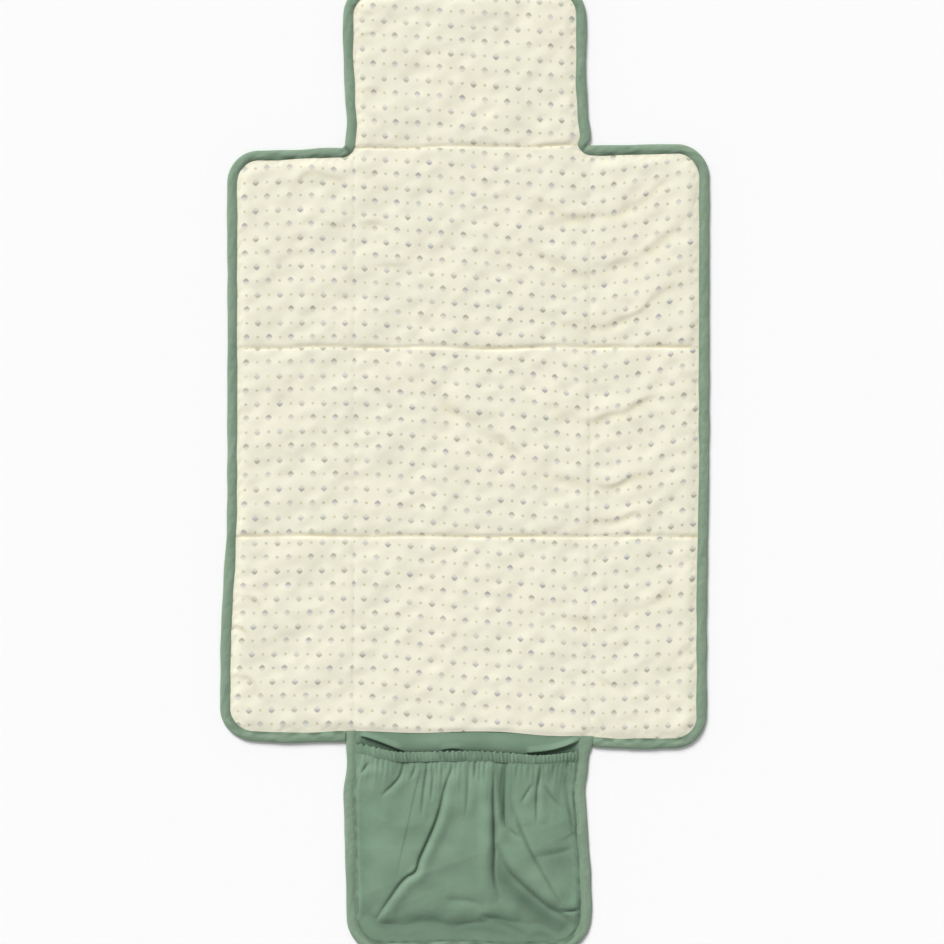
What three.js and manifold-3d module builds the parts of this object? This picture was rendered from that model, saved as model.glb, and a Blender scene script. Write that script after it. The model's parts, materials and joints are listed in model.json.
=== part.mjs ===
// Folding changing pad: nine quilted panels in three rows and three columns, a head flap on the
// top row and an elasticated pocket on a flap below the bottom row, all edged with bias binding.
// It lies flat on the XY plane with its printed side up. The head flap points along +Y, and the
// origin is under the middle of the whole pad, on the surface that it lies on. Millimetres.
import * as THREE from "three";
import { mergeVertices } from "three/addons/utils/BufferGeometryUtils.js";
import Module from "manifold-3d";

// Lengths along Y, from the head flap down to the pocket flap.
const HEAD_LENGTH = 161;
const UPPER_LENGTH = 195;
const MIDDLE_LENGTH = 185;
const LOWER_LENGTH = 203.5;
const POCKET_FLAP_LENGTH = 204.5;

// Widths along X. The two wings fold in and meet above the middle column, which is a little
// wider than the head flap above it and the pocket flap below it.
const PAD_WIDTH = 474;
const COLUMN_WIDTH = 238;
const FLAP_WIDTH = 237;

// Layers of the quilted pad, and the folded tape that binds its edge.
const PAD_THICKNESS = 4.5;
const FABRIC = 0.4;
const LAYER_GAP = 0.3;
const FOLD_GAP = 0.3;
const FIT_GAP = 0.3;
const CORNER_RADIUS = 32;
const BINDING_WIDTH = 10;
const BINDING_TAPE = 0.6;
const BINDING_SPINE = 1.2;
const ARC_STEPS = 10;

// The pocket flap is unpadded: two fabric layers held in a thinner binding.
const FLAP_BINDING_THICKNESS = 3.2;
const FLAP_BACKING_Z = 0.9;
const FLAP_LINING_Z = 1.7;

// The pocket is a gathered panel that arches over the lining and is open towards the pad.
const POCKET_SEAT_Z = 2.4;
const POCKET_RISE = 9.5;
const POCKET_FABRIC = 0.6;
const POCKET_MOUTH_Y = -281;
const POCKET_TOE_LENGTH = 45;
const ARCH_POWER = 4;
const ARCH_STEPS = 24;
const CASING_LENGTH = 9;
const CASING_THICKNESS = 2.4;
const CASING_WALL = 0.5;

// Fold lines and outer edges that follow from the driving dimensions.
const TOTAL_LENGTH =
  HEAD_LENGTH + UPPER_LENGTH + MIDDLE_LENGTH + LOWER_LENGTH + POCKET_FLAP_LENGTH;
const HEAD_TOP_Y = TOTAL_LENGTH / 2;
const HEAD_FOLD_Y = HEAD_TOP_Y - HEAD_LENGTH;
const UPPER_FOLD_Y = HEAD_FOLD_Y - UPPER_LENGTH;
const LOWER_FOLD_Y = UPPER_FOLD_Y - MIDDLE_LENGTH;
const PAD_BOTTOM_Y = LOWER_FOLD_Y - LOWER_LENGTH;
const POCKET_FOLD_Y = PAD_BOTTOM_Y + BINDING_WIDTH;
const FLAP_BOTTOM_Y = PAD_BOTTOM_Y - POCKET_FLAP_LENGTH;
const PAD_EDGE_X = PAD_WIDTH / 2;
const FLAP_EDGE_X = FLAP_WIDTH / 2;
const FOLD_X = COLUMN_WIDTH / 2;
const POCKET_EDGE_X = FLAP_EDGE_X - BINDING_WIDTH - FIT_GAP;

// How far a cutting solid reaches past the piece that it cuts.
const CUT_PAST = 1;

const wasm = await Module();
wasm.setup();

const material = (color, roughness) =>
  new THREE.MeshStandardMaterial({ color, roughness, metalness: 0 });
const printedCotton = material(0xeeead6, 0.9);
const greenCotton = material(0x7a9e82, 0.85);
const bindingTape = material(0x76997f, 0.8);
const polyesterWadding = material(0xf6f5f0, 1);
const wovenElastic = material(0xe9e7de, 0.7);

const pad = new THREE.Group();
pad.name = "changing_pad";

// A closed three.js geometry as a manifold-3d solid, and back.
function solidOf(geometry) {
  const bare = geometry.clone();
  bare.deleteAttribute("normal");
  bare.deleteAttribute("uv");
  const merged = mergeVertices(bare, 1e-4);
  const vertProperties = merged.attributes.position.array;
  const triVerts = new Uint32Array(merged.index.array);
  return new wasm.Manifold(new wasm.Mesh({ numProp: 3, vertProperties, triVerts }));
}

function geometryOf(solid) {
  const mesh = solid.getMesh();
  return new THREE.BufferGeometry()
    .setAttribute("position", new THREE.BufferAttribute(mesh.vertProperties, 3))
    .setIndex(new THREE.BufferAttribute(mesh.triVerts, 1));
}

function addPiece(name, solid, look) {
  const mesh = new THREE.Mesh(geometryOf(solid), look);
  mesh.name = name;
  pad.add(mesh);
}

// A flat shape made solid between two heights.
function slab(shape, lowZ, highZ) {
  const geometry = new THREE.ExtrudeGeometry(shape, {
    depth: highZ - lowZ,
    bevelEnabled: false,
    curveSegments: ARC_STEPS,
  });
  return solidOf(geometry.translate(0, 0, lowZ));
}

// A rectangular block between two corners.
function block(low, high) {
  const size = high.map((value, i) => value - low[i]);
  const middle = high.map((value, i) => (value + low[i]) / 2);
  return solidOf(new THREE.BoxGeometry(...size).translate(...middle));
}

// A panel's outline. Its bound sides are set in by edgeInset and its folded sides by foldInset,
// and a corner between two bound sides is round.
function panelShape(panel, edgeInset, foldInset) {
  const inset = (side) => (panel.bound.includes(side) ? edgeInset : foldInset);
  const west = panel.x[0] + inset("west");
  const east = panel.x[1] - inset("east");
  const south = panel.y[0] + inset("south");
  const north = panel.y[1] - inset("north");
  const corners = [
    { sides: ["east", "south"], x: east, y: south, inX: -1, inY: 1, start: -Math.PI / 2 },
    { sides: ["east", "north"], x: east, y: north, inX: -1, inY: -1, start: 0 },
    { sides: ["west", "north"], x: west, y: north, inX: 1, inY: -1, start: Math.PI / 2 },
    { sides: ["west", "south"], x: west, y: south, inX: 1, inY: 1, start: Math.PI },
  ];
  const shape = new THREE.Shape();
  shape.moveTo((west + east) / 2, south);
  for (const { sides, x, y, inX, inY, start } of corners) {
    if (sides.every((side) => panel.bound.includes(side))) {
      const radius = CORNER_RADIUS - edgeInset;
      const centreX = x + inX * radius;
      const centreY = y + inY * radius;
      shape.absarc(centreX, centreY, radius, start, start + Math.PI / 2, false);
    } else {
      shape.lineTo(x, y);
    }
  }
  shape.closePath();
  return shape;
}

const HEAD = {
  name: "head",
  x: [-FLAP_EDGE_X, FLAP_EDGE_X],
  y: [HEAD_FOLD_Y, HEAD_TOP_Y],
  bound: ["west", "east", "north"],
};
const POCKET_FLAP = {
  name: "pocket_flap",
  x: [-FLAP_EDGE_X, FLAP_EDGE_X],
  y: [FLAP_BOTTOM_Y, POCKET_FOLD_Y],
  bound: ["west", "east", "south"],
};
const ROWS = [
  { name: "upper", y: [UPPER_FOLD_Y, HEAD_FOLD_Y], centreSouth: UPPER_FOLD_Y, end: ["north"] },
  { name: "middle", y: [LOWER_FOLD_Y, UPPER_FOLD_Y], centreSouth: LOWER_FOLD_Y, end: [] },
  { name: "lower", y: [PAD_BOTTOM_Y, LOWER_FOLD_Y], centreSouth: POCKET_FOLD_Y, end: ["south"] },
];

// A row's wings are bound on the outside and at the row's free end. Its centre panel has no
// bound side, and the lower one stops where the pocket flap is sewn on.
function panelsOf(row) {
  return [
    {
      name: `${row.name}_left`,
      x: [-PAD_EDGE_X, -FOLD_X],
      y: row.y,
      bound: ["west", ...row.end],
    },
    {
      name: `${row.name}_centre`,
      x: [-FOLD_X, FOLD_X],
      y: [row.centreSouth, row.y[1]],
      bound: [],
    },
    {
      name: `${row.name}_right`,
      x: [FOLD_X, PAD_EDGE_X],
      y: row.y,
      bound: ["east", ...row.end],
    },
  ];
}

// The tape turns the inner corner between the head flap and a wing on a small square of the
// upper centre panel. The side is -1 on the left and 1 on the right, and grow widens the square.
function cornerSquare(side, grow, lowZ, highZ) {
  const inner = side * (FOLD_X - BINDING_WIDTH - grow);
  const outer = side * (FOLD_X - FOLD_GAP + grow);
  const low = [Math.min(inner, outer), HEAD_FOLD_Y - BINDING_WIDTH - grow, lowZ];
  const high = [Math.max(inner, outer), HEAD_FOLD_Y - FOLD_GAP + grow, highZ];
  return block(low, high);
}

function addCornerBinding(name, side) {
  const square = cornerSquare(side, 0, 0, PAD_THICKNESS);
  const groove = cornerSquare(side, 0, BINDING_TAPE, PAD_THICKNESS - BINDING_TAPE)
    .translate([-side * BINDING_SPINE, -BINDING_SPINE, 0]);
  addPiece(name, square.subtract(groove), bindingTape);
}

// The layers of one quilted panel: plain backing below, wadding, printed cover on top.
function addPanel(panel) {
  const skinShape = panelShape(panel, BINDING_WIDTH + FIT_GAP, FOLD_GAP);
  const fillShape = panelShape(panel, BINDING_SPINE + FIT_GAP, FOLD_GAP);
  const fillZ = FABRIC + LAYER_GAP;
  const corners = [-1, 1].map((side) =>
    cornerSquare(side, FIT_GAP, -CUT_PAST, PAD_THICKNESS + CUT_PAST));
  const layer = (shape, lowZ, highZ) =>
    corners.reduce((solid, corner) => solid.subtract(corner), slab(shape, lowZ, highZ));
  addPiece(`backing_${panel.name}`, layer(skinShape, 0, FABRIC), greenCotton);
  addPiece(`wadding_${panel.name}`, layer(fillShape, fillZ, PAD_THICKNESS - fillZ),
    polyesterWadding);
  addPiece(`cover_${panel.name}`, layer(skinShape, PAD_THICKNESS - FABRIC, PAD_THICKNESS),
    printedCotton);
}

// Folded tape round a panel's bound sides: a channel that is open towards the panel.
function addBinding(panel, thickness) {
  const outer = slab(panelShape(panel, 0, FOLD_GAP), 0, thickness);
  const inside = slab(panelShape(panel, BINDING_WIDTH, -CUT_PAST),
    -CUT_PAST, thickness + CUT_PAST);
  const groove = slab(panelShape(panel, BINDING_SPINE, -CUT_PAST),
    BINDING_TAPE, thickness - BINDING_TAPE);
  addPiece(`binding_${panel.name}`, outer.subtract(inside).subtract(groove), bindingTape);
}

// A band across the flap that follows the pocket's arch, between two heights above the arch and
// between two positions along Y. It stops short of the pocket's side edges by endInset.
function archBand(endInset, below, above, lowY, highY) {
  const edge = (offset) => {
    const points = [];
    for (let i = 0; i <= ARCH_STEPS; i++) {
      const x = (POCKET_EDGE_X - endInset) * ((2 * i) / ARCH_STEPS - 1);
      const arch = POCKET_RISE * (1 - Math.abs(x / POCKET_EDGE_X) ** ARCH_POWER);
      points.push(new THREE.Vector2(x, POCKET_SEAT_Z + arch + offset));
    }
    return points;
  };
  const shape = new THREE.Shape([...edge(above), ...edge(below).reverse()]);
  const depth = highY - lowY;
  const geometry = new THREE.ExtrudeGeometry(shape, { depth, bevelEnabled: false });
  return solidOf(geometry.rotateX(Math.PI / 2).translate(0, highY, 0));
}

// The pocket's side view made solid across the flap: round at its toe, then flat to its end.
function toeProfile(sideInset, toeY, endY, lowZ, highZ) {
  const halfWidth = POCKET_EDGE_X - sideInset;
  const shape = new THREE.Shape();
  shape.moveTo(toeY, lowZ);
  shape.lineTo(toeY, POCKET_SEAT_Z);
  shape.absellipse(toeY + POCKET_TOE_LENGTH, POCKET_SEAT_Z, POCKET_TOE_LENGTH,
    highZ - POCKET_SEAT_Z, Math.PI, Math.PI / 2, true);
  shape.lineTo(endY, highZ);
  shape.lineTo(endY, lowZ);
  shape.closePath();
  const geometry = new THREE.ExtrudeGeometry(shape, {
    depth: 2 * halfWidth,
    bevelEnabled: false,
    curveSegments: ARC_STEPS,
  });
  // The shape's first coordinate becomes Y, its second becomes Z, and its depth becomes X.
  const turn = new THREE.Matrix4().makeBasis(
    new THREE.Vector3(0, 1, 0),
    new THREE.Vector3(0, 0, 1),
    new THREE.Vector3(1, 0, 0),
  );
  return solidOf(geometry.applyMatrix4(turn).translate(-halfWidth, 0, 0));
}

function addPocketPanel(mouthY) {
  const toeY = FLAP_BOTTOM_Y + BINDING_WIDTH + FIT_GAP;
  const topZ = POCKET_SEAT_Z + POCKET_RISE;
  const toFloor = -topZ;
  const pastMouthY = mouthY + CUT_PAST;
  const outside = toeProfile(0, toeY, mouthY, POCKET_SEAT_Z, topZ + POCKET_FABRIC)
    .intersect(archBand(0, toFloor, POCKET_FABRIC, toeY - CUT_PAST, pastMouthY))
    .intersect(slab(panelShape(POCKET_FLAP, BINDING_WIDTH + FIT_GAP, 0), 0, 2 * topZ));
  const inside = toeProfile(POCKET_FABRIC, toeY + POCKET_FABRIC, pastMouthY, 0, topZ)
    .intersect(archBand(POCKET_FABRIC, toFloor, 0, toeY, pastMouthY))
    .intersect(slab(
      panelShape(POCKET_FLAP, BINDING_WIDTH + FIT_GAP + POCKET_FABRIC, 0), -CUT_PAST, 2 * topZ));
  addPiece("pocket_panel", outside.subtract(inside), greenCotton);
}

// The hem at the pocket's mouth is a flat tube, open at both ends, with the elastic inside.
function addPocketMouth() {
  const southY = POCKET_MOUTH_Y - CASING_LENGTH;
  const tube = (endInset, wall) => archBand(endInset, wall,
    CASING_THICKNESS - wall, southY + wall, POCKET_MOUTH_Y - wall);
  addPiece("elastic_casing", tube(0, 0).subtract(tube(-CUT_PAST, CASING_WALL)), greenCotton);
  addPiece("elastic_band", tube(0, CASING_WALL + FIT_GAP), wovenElastic);
}

function addPocketFlap() {
  const layerShape = panelShape(POCKET_FLAP, BINDING_SPINE + FIT_GAP, FOLD_GAP);
  addPiece("flap_backing", slab(layerShape, FLAP_BACKING_Z, FLAP_BACKING_Z + FABRIC), greenCotton);
  addPiece("flap_lining", slab(layerShape, FLAP_LINING_Z, FLAP_LINING_Z + FABRIC), greenCotton);
  addBinding(POCKET_FLAP, FLAP_BINDING_THICKNESS);
  addPocketPanel(POCKET_MOUTH_Y - CASING_LENGTH - FIT_GAP);
  addPocketMouth();
}

for (const panel of [HEAD, ...ROWS.flatMap(panelsOf)]) {
  addPanel(panel);
  if (panel.bound.length) addBinding(panel, PAD_THICKNESS);
}
addCornerBinding("binding_corner_left", -1);
addCornerBinding("binding_corner_right", 1);
addPocketFlap();

export default pad;
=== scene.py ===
import json
import math

import bpy
import numpy as np
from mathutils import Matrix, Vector

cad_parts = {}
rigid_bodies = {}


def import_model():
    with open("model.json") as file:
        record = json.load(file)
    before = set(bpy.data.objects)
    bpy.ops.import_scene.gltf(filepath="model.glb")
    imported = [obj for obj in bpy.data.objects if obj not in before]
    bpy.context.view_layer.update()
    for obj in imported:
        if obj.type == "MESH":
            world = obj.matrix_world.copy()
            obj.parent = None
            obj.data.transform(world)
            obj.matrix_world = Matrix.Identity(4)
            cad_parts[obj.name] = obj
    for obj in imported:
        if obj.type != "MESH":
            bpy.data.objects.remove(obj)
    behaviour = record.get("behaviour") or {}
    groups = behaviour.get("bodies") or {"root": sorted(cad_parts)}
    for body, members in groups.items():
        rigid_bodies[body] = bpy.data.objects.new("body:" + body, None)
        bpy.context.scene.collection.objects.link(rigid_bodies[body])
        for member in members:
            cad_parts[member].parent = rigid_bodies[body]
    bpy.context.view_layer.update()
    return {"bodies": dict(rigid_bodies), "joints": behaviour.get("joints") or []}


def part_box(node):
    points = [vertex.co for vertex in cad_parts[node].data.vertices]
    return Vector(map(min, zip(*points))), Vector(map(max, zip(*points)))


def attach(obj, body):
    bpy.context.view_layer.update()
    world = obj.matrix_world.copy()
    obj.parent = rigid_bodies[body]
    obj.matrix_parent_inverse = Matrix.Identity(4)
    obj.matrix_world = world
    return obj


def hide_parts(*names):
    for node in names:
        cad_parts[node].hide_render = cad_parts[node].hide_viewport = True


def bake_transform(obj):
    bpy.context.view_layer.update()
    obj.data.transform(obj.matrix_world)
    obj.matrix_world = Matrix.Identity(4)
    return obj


# A changing pad lying open: a quilted cotton pad whose wings and head flap fold in, and a gathered pocket
# flap. Lengths are in millimetres until a mesh is made. Flat places are those of the pieces in the CAD model,
# and laid() moves them to where the hand-laid cloth lies.
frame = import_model()

MM = 0.001
JOINTS = {joint["name"]: joint for joint in frame["joints"]}


def joint_place(name, axis):
    return JOINTS[name]["pos_m"][axis] / MM


def node_reach(name, end, axis):
    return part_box(name)[end][axis] / MM


HEAD_FOLD = joint_place("head_fold", 1)
UPPER_FOLD = joint_place("upper_row_fold", 1)
LOWER_FOLD = joint_place("lower_row_fold", 1)
POCKET_FOLD = joint_place("pocket_fold", 1)
PAD_EDGE = node_reach("binding_middle_right", 1, 0)
PAD_BOTTOM = node_reach("binding_lower_right", 0, 1)
COLUMN_EDGE = node_reach("binding_head", 1, 0)
HEAD_TOP = node_reach("binding_head", 1, 1)
FLAP_BOTTOM = node_reach("binding_pocket_flap", 0, 1)

CORNER_RADIUS = 32.0
TAPE_HALF = 5.0
# How far the cut edge of every cloth lies inside the outer edge of the binding.
HIDDEN_EDGE = 3.0
ROW_BEND = 20.0
WING_BEND_START = COLUMN_EDGE - HIDDEN_EDGE
WING_BEND_END = WING_BEND_START + 12.0
HEAD_BEND_END = HEAD_FOLD + 9.0
LEFT_SEAM = -110.3
RIGHT_SEAM = 121.0
PANEL_SPACING = 1.8
CROWN = 4.15
# Above this height the wadding presses the cover's wrinkles flatter.
FLAT_TOP = 4.7
EDGE_TOP = 2.3
POCKET_EDGE = COLUMN_EDGE - 7.0
SIDES = {"left": -1, "right": 1}


# ---------------------------------------------------------------- shapes of the hand-laid cloth

def eased(value, stops):
    """Moves smoothly from one (place, amount) stop to the next."""
    total = np.full(np.shape(value), float(stops[0][1]))
    for (start, low), (end, high) in zip(stops, stops[1:]):
        way = np.clip((value - start) / (end - start), 0, 1)
        total = total + (high - low) * way * way * (3 - 2 * way)
    return total


def bell(distance, reach):
    """1 at no distance, falling off smoothly on both sides."""
    return np.exp(-((distance / reach) ** 2))


def waves(x, y, length, seed, stretch=1.0):
    """Smooth seeded noise of about that wavelength, mostly between -1 and 1."""
    rng = np.random.default_rng(seed)
    total = np.zeros(np.shape(x))
    for _ in range(14):
        angle = rng.uniform(0, math.pi)
        scale = 2 * math.pi / (length * rng.uniform(0.7, 1.5))
        phase = rng.uniform(0, 2 * math.pi)
        total = total + np.sin(scale * (x * math.cos(angle) + y * math.sin(angle) / stretch) + phase)
    return total / 3.7


def box_inset(x, y, half_width, low, high, radius):
    """Distance inwards from the edge of an upright box with rounded corners."""
    across = np.abs(x) - (half_width - radius)
    along = np.abs(y - (low + high) / 2) - ((high - low) / 2 - radius)
    outside = np.hypot(np.maximum(across, 0), np.maximum(along, 0))
    return radius - outside - np.minimum(np.maximum(across, along), 0)


def inset(x, y):
    """Distance inwards from the pad's outer edge: the rows of panels, and the column with both flaps."""
    rows = box_inset(x, y, PAD_EDGE, PAD_BOTTOM, HEAD_FOLD, CORNER_RADIUS)
    column = box_inset(x, y, COLUMN_EDGE, FLAP_BOTTOM, HEAD_TOP, CORNER_RADIUS)
    return np.hypot(np.maximum(rows, 0), np.maximum(column, 0))


LEFT_SWAY = ((-250, -4.0), (-190, -3.5), (-30, 3.2), (120, 3.4), (290, 3.2))
RIGHT_SWAY = ((-250, -1.6), (-150, -1.4), (20, 1.0), (290, 1.2))
TOP_SWAY = ((-237, -3.0), (-125, 0.4), (60, 1.2), (125, 2.4), (160, 3.4))
BOTTOM_SWAY = ((-237, 3.4), (-119, 1.6), (30, 1.4), (100, -2.6), (145, -5.0), (237, -4.2))
COLUMN_LEFT_SWAY = (
    (-474, 3.4), (-420, 1.0), (-350, -0.6), (-318, -1.6), (-290, 1.8), (-266, 0.6), (-240, 0.0),
    (313, 0.0), (336, 1.9), (362, 0.0), (410, -2.0), (460, -1.8), (474, -0.2),
)
COLUMN_RIGHT_SWAY = (
    (-474, 2.2), (-428, 4.6), (-400, 3.6), (-350, 0.2), (-316, -2.2), (-292, 0.4), (-272, 2.2), (-262, 2.6),
    (-236, 0.0), (313, 0.0), (322, 3.4), (345, 0.6), (380, -1.2), (430, -0.6), (474, -2.4),
)


def laid(x, y):
    """Where a point of the flat cut lies on the table: nothing hand-laid is quite straight."""
    side_share = np.clip((np.abs(x) - COLUMN_EDGE) / (PAD_EDGE - COLUMN_EDGE), 0, 1.05)
    side = np.where(x < 0, eased(y, LEFT_SWAY), eased(y, RIGHT_SWAY))
    column_share = np.minimum(np.abs(x) / COLUMN_EDGE, np.clip((165 - np.abs(x)) / (165 - COLUMN_EDGE), 0, 1))
    column = np.where(x < 0, eased(y, COLUMN_LEFT_SWAY), eased(y, COLUMN_RIGHT_SWAY))
    in_rows = eased(y, ((-300, 0.0), (-262, 1.0), (HEAD_FOLD, 1.0), (HEAD_FOLD + 30, 0.0)))
    top_share = eased(y, ((UPPER_FOLD, 0.0), (HEAD_FOLD, 1.0)))
    bottom_share = eased(y, ((-330, 0.0), (-272, 1.0), (-255, 1.0), (LOWER_FOLD, 0.0)))
    moved_x = x + side * side_share * in_rows + column * column_share
    moved_y = y + eased(x, TOP_SWAY) * top_share + eased(x, BOTTOM_SWAY) * bottom_share
    moved_y = moved_y + 0.7 * waves(x, y, 95, 5) * eased(np.abs(x), ((215, 1.0), (PAD_EDGE, 0.0)))
    return moved_x, moved_y


def laid_surface(x, y, height):
    """Points of the flat cut at those heights, moved to where they lie on the table."""
    return np.stack([*laid(x, y), height], 2)


def softened(line, rounds=3):
    """Cuts the corners of a line of points, so that it bends smoothly."""
    points = np.array(line, float)
    for _ in range(rounds):
        early = points[:-1] * 0.75 + points[1:] * 0.25
        late = points[:-1] * 0.25 + points[1:] * 0.75
        middle = np.stack([early, late], 1).reshape(-1, 2)
        points = np.vstack([points[:1], middle, points[-1:]])
    return points


def from_line(x, y, line):
    """Signed distance from a line (positive on its left) and a fade that falls to 0 at its two ends."""
    points = softened(line)
    steps = np.diff(points, axis=0)
    travelled = np.concatenate([[0], np.cumsum(np.hypot(steps[:, 0], steps[:, 1]))])
    nearest = np.full(np.shape(x), 1e9)
    signed = np.zeros(np.shape(x))
    share = np.zeros(np.shape(x))
    for (from_x, from_y), (step_x, step_y), start, end in zip(points, steps, travelled, travelled[1:]):
        step_square = step_x * step_x + step_y * step_y
        way = np.clip(((x - from_x) * step_x + (y - from_y) * step_y) / step_square, 0, 1)
        off_x = x - from_x - way * step_x
        off_y = y - from_y - way * step_y
        distance = np.hypot(off_x, off_y)
        closer = distance < nearest
        nearest = np.where(closer, distance, nearest)
        sign = np.where(step_x * off_y - step_y * off_x < 0, -1, 1)
        signed = np.where(closer, distance * sign, signed)
        share = np.where(closer, (start + way * (end - start)) / travelled[-1], share)
    return signed, np.sin(math.pi * np.clip(share, 0, 1)) ** 0.7


# Soft ridges where the wadding bunches: the line that each follows, its height and its half width.
COVER_RIDGES = (
    (((-178, 281), (-156, 292), (-136, 290), (-117, 281)), 0.8, 6),
    (((-163, 241), (-140, 247), (-119, 239)), 0.6, 5),
    (((-112, 287), (-89, 293), (-74, 289)), 0.6, 5),
    (((-112, 237), (-89, 243), (-66, 235)), 0.5, 5),
    (((-122, 199), (-85, 203), (-50, 199)), 0.4, 5),
    (((-26, 72), (20, 44), (45, 27), (80, -8)), 0.7, 9),
    (((-66, 97), (10, 55), (92, -12)), 0.6, 10),
    (((-230, -118), (-212, -127), (-190, -146)), 0.7, 4),
    (((-231, -149), (-214, -158), (-196, -178)), 0.8, 4),
    (((-234, -198), (-216, -205), (-190, -224)), 0.8, 4),
    (((60, 272), (98, 249), (122, 244), (150, 253), (196, 283)), 0.9, 8),
    (((52, 226), (96, 199), (126, 193), (160, 206), (214, 246)), 0.8, 9),
    (((70, 160), (104, 144), (132, 142), (168, 158), (222, 196)), 0.7, 9),
    (((62, 78), (98, 54), (130, 50), (168, 66), (216, 98)), 0.8, 9),
    (((70, 10), (108, -12), (140, -14), (180, 2), (224, 34)), 0.7, 9),
    (((84, -36), (120, -50), (160, -44), (206, -20)), 0.6, 8),
    (((72, -128), (112, -146), (150, -142), (196, -118), (226, -96)), 0.6, 9),
    (((112, -196), (150, -206), (184, -192), (226, -160)), 0.8, 8),
    (((-112, 449), (-98, 451), (-84, 447)), 0.4, 4),
    (((-114, 424), (-98, 427), (-80, 424)), 0.4, 5),
    (((-113, 370), (-96, 375), (-76, 372)), 0.5, 5),
)


def cover_wrinkles(x, y):
    """Relief of the wrinkles, and how deep in a wrinkle's hollow each point lies, from 0 to 1."""
    relief = 0.4 * waves(x, y, 60, 11) + 0.24 * waves(x, y, 27, 12, 0.6)
    deep = np.zeros(np.shape(x))
    wander = 2.2 * waves(x, y, 36, 13)
    uneven = np.clip(0.75 + 0.6 * waves(x, y, 42, 14), 0.1, 1.5)
    for line, height, half_width in COVER_RIDGES:
        distance, fade = from_line(x, y, line)
        distance = distance + wander
        reach = half_width * np.where(distance > 0, 1.5, 0.45)
        ridge = bell(distance, reach)
        hollow = bell(distance + 0.8 * half_width, 0.6 * half_width)
        relief = relief + 1.15 * height * uneven * fade * (ridge - 0.45 * hollow)
        deep = np.maximum(deep, 0.6 * height * uneven * fade * hollow)
    return relief, np.clip(deep, 0, 1)


def row_dip(y, x):
    """1 in the three quilting seams across the pad, falling off sharply on both sides."""
    total = np.zeros(np.shape(y))
    for number, seam in enumerate((HEAD_FOLD, UPPER_FOLD, LOWER_FOLD)):
        distance = y - seam
        depth = 0.86 + 0.14 * waves(x, x * 0, 70, 30 + number)
        reach = np.where(distance > 0, 2.4, 1.5)
        total = np.maximum(total, depth * np.exp(-np.abs(distance) / reach))
    return total


def column_dip(x, y):
    """1 in the two quilting seams down the pad, between the head seam and the bottom edge."""
    in_rows = eased(y, ((HEAD_FOLD - 8, 1.0), (HEAD_FOLD, 0.0)))
    left = np.exp(-np.abs(x - LEFT_SEAM) / 1.8)
    right = np.exp(-np.abs(x - RIGHT_SEAM) / 1.8)
    return np.maximum(left, right) * in_rows


def cover_fullness(x, y):
    """0 where the cover is sewn down, 1 where the wadding lifts it freely."""
    from_edge = eased(inset(x, y), ((6.5, 0.0), (22, 1.0)))
    from_hem = eased(y - POCKET_FOLD, ((-1, 0.35), (5, 1.0)))
    from_hem = np.where(np.abs(x) < COLUMN_EDGE, from_hem, 1.0)
    from_rows = 1 - 0.92 * row_dip(y, x)
    from_columns = 1 - 0.26 * column_dip(x, y)
    return from_edge * from_hem * from_rows * from_columns


def seam_puckers(x, y):
    """Small gathers that the stitching draws in, beside every seam and along the binding."""
    near_rows = row_dip(y, x) * (1 - row_dip(y, x)) * 4
    near_columns = column_dip(x, y) * (1 - column_dip(x, y)) * 4
    near_edge = bell(inset(x, y) - 13.5, 2.2)
    rows = 0.16 * near_rows * waves(x, y * 0.2, 11, 21)
    columns = 0.09 * near_columns * waves(x * 0.2, y, 10, 22)
    return rows + columns + 0.3 * near_edge * waves(x, y, 8, 23)


def cover_top(x, y):
    full = cover_fullness(x, y)
    wrinkles, _ = cover_wrinkles(x, y)
    return EDGE_TOP + (CROWN - EDGE_TOP) * full + full * wrinkles + seam_puckers(x, y)


def cover_shade(x, y):
    """The shade painted on each point of the cover, from 0 to 1: deepest in a seam or a wrinkle."""
    _, hollow = cover_wrinkles(x, y)
    beside_tape = bell(inset(x, y) - 10.5, 1.5) * (0.5 + 0.6 * waves(x, y, 9, 24))
    return np.clip(np.maximum(row_dip(y, x) ** 3, 0.55 * hollow) + 0.3 * np.clip(beside_tape, 0, 1), 0, 1)


def drawn_up(y):
    """How far the underside is drawn up where the head flap bends, so that the folded stack stays slim."""
    return 1.9 * bell(y - (HEAD_FOLD + HEAD_BEND_END) / 2, 4.5)


def cover_bottom(x, y):
    sewn = np.maximum(row_dip(y, x), 0.6 * column_dip(x, y))
    from_edge = eased(inset(x, y), ((4, 1.0), (16, 0.0)))
    return 0.2 + 0.6 * sewn + 0.55 * from_edge + 0.08 * waves(x, y, 30, 41) + 0.9 * drawn_up(y)


# ---------------------------------------------------------------- cloth simulation

def make_mesh(name, points, faces):
    mesh = bpy.data.meshes.new(name)
    mesh.from_pydata((np.asarray(points) * MM).tolist(), [], faces)
    mesh.validate()
    piece = bpy.data.objects.new(name, mesh)
    bpy.context.scene.collection.objects.link(piece)
    return piece


def set_painted_shade(mesh, values):
    """Stores how much shade the materials paint on each point, deepest in tucks and openings."""
    shaded = mesh.attributes.new("tuck_and_painted_shade", "FLOAT", "POINT")
    shaded.data.foreach_set("value", values.astype(np.float32))


def set_cut_place(mesh, place):
    """Stores each point's place on the cut cloth, for the materials."""
    layer = mesh.uv_layers.new(name="cut")
    corner_points = np.zeros(len(mesh.loops), np.int32)
    mesh.loops.foreach_get("vertex_index", corner_points)
    layer.data.foreach_set("uv", (place * MM)[corner_points].astype(np.float32).ravel())


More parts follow.
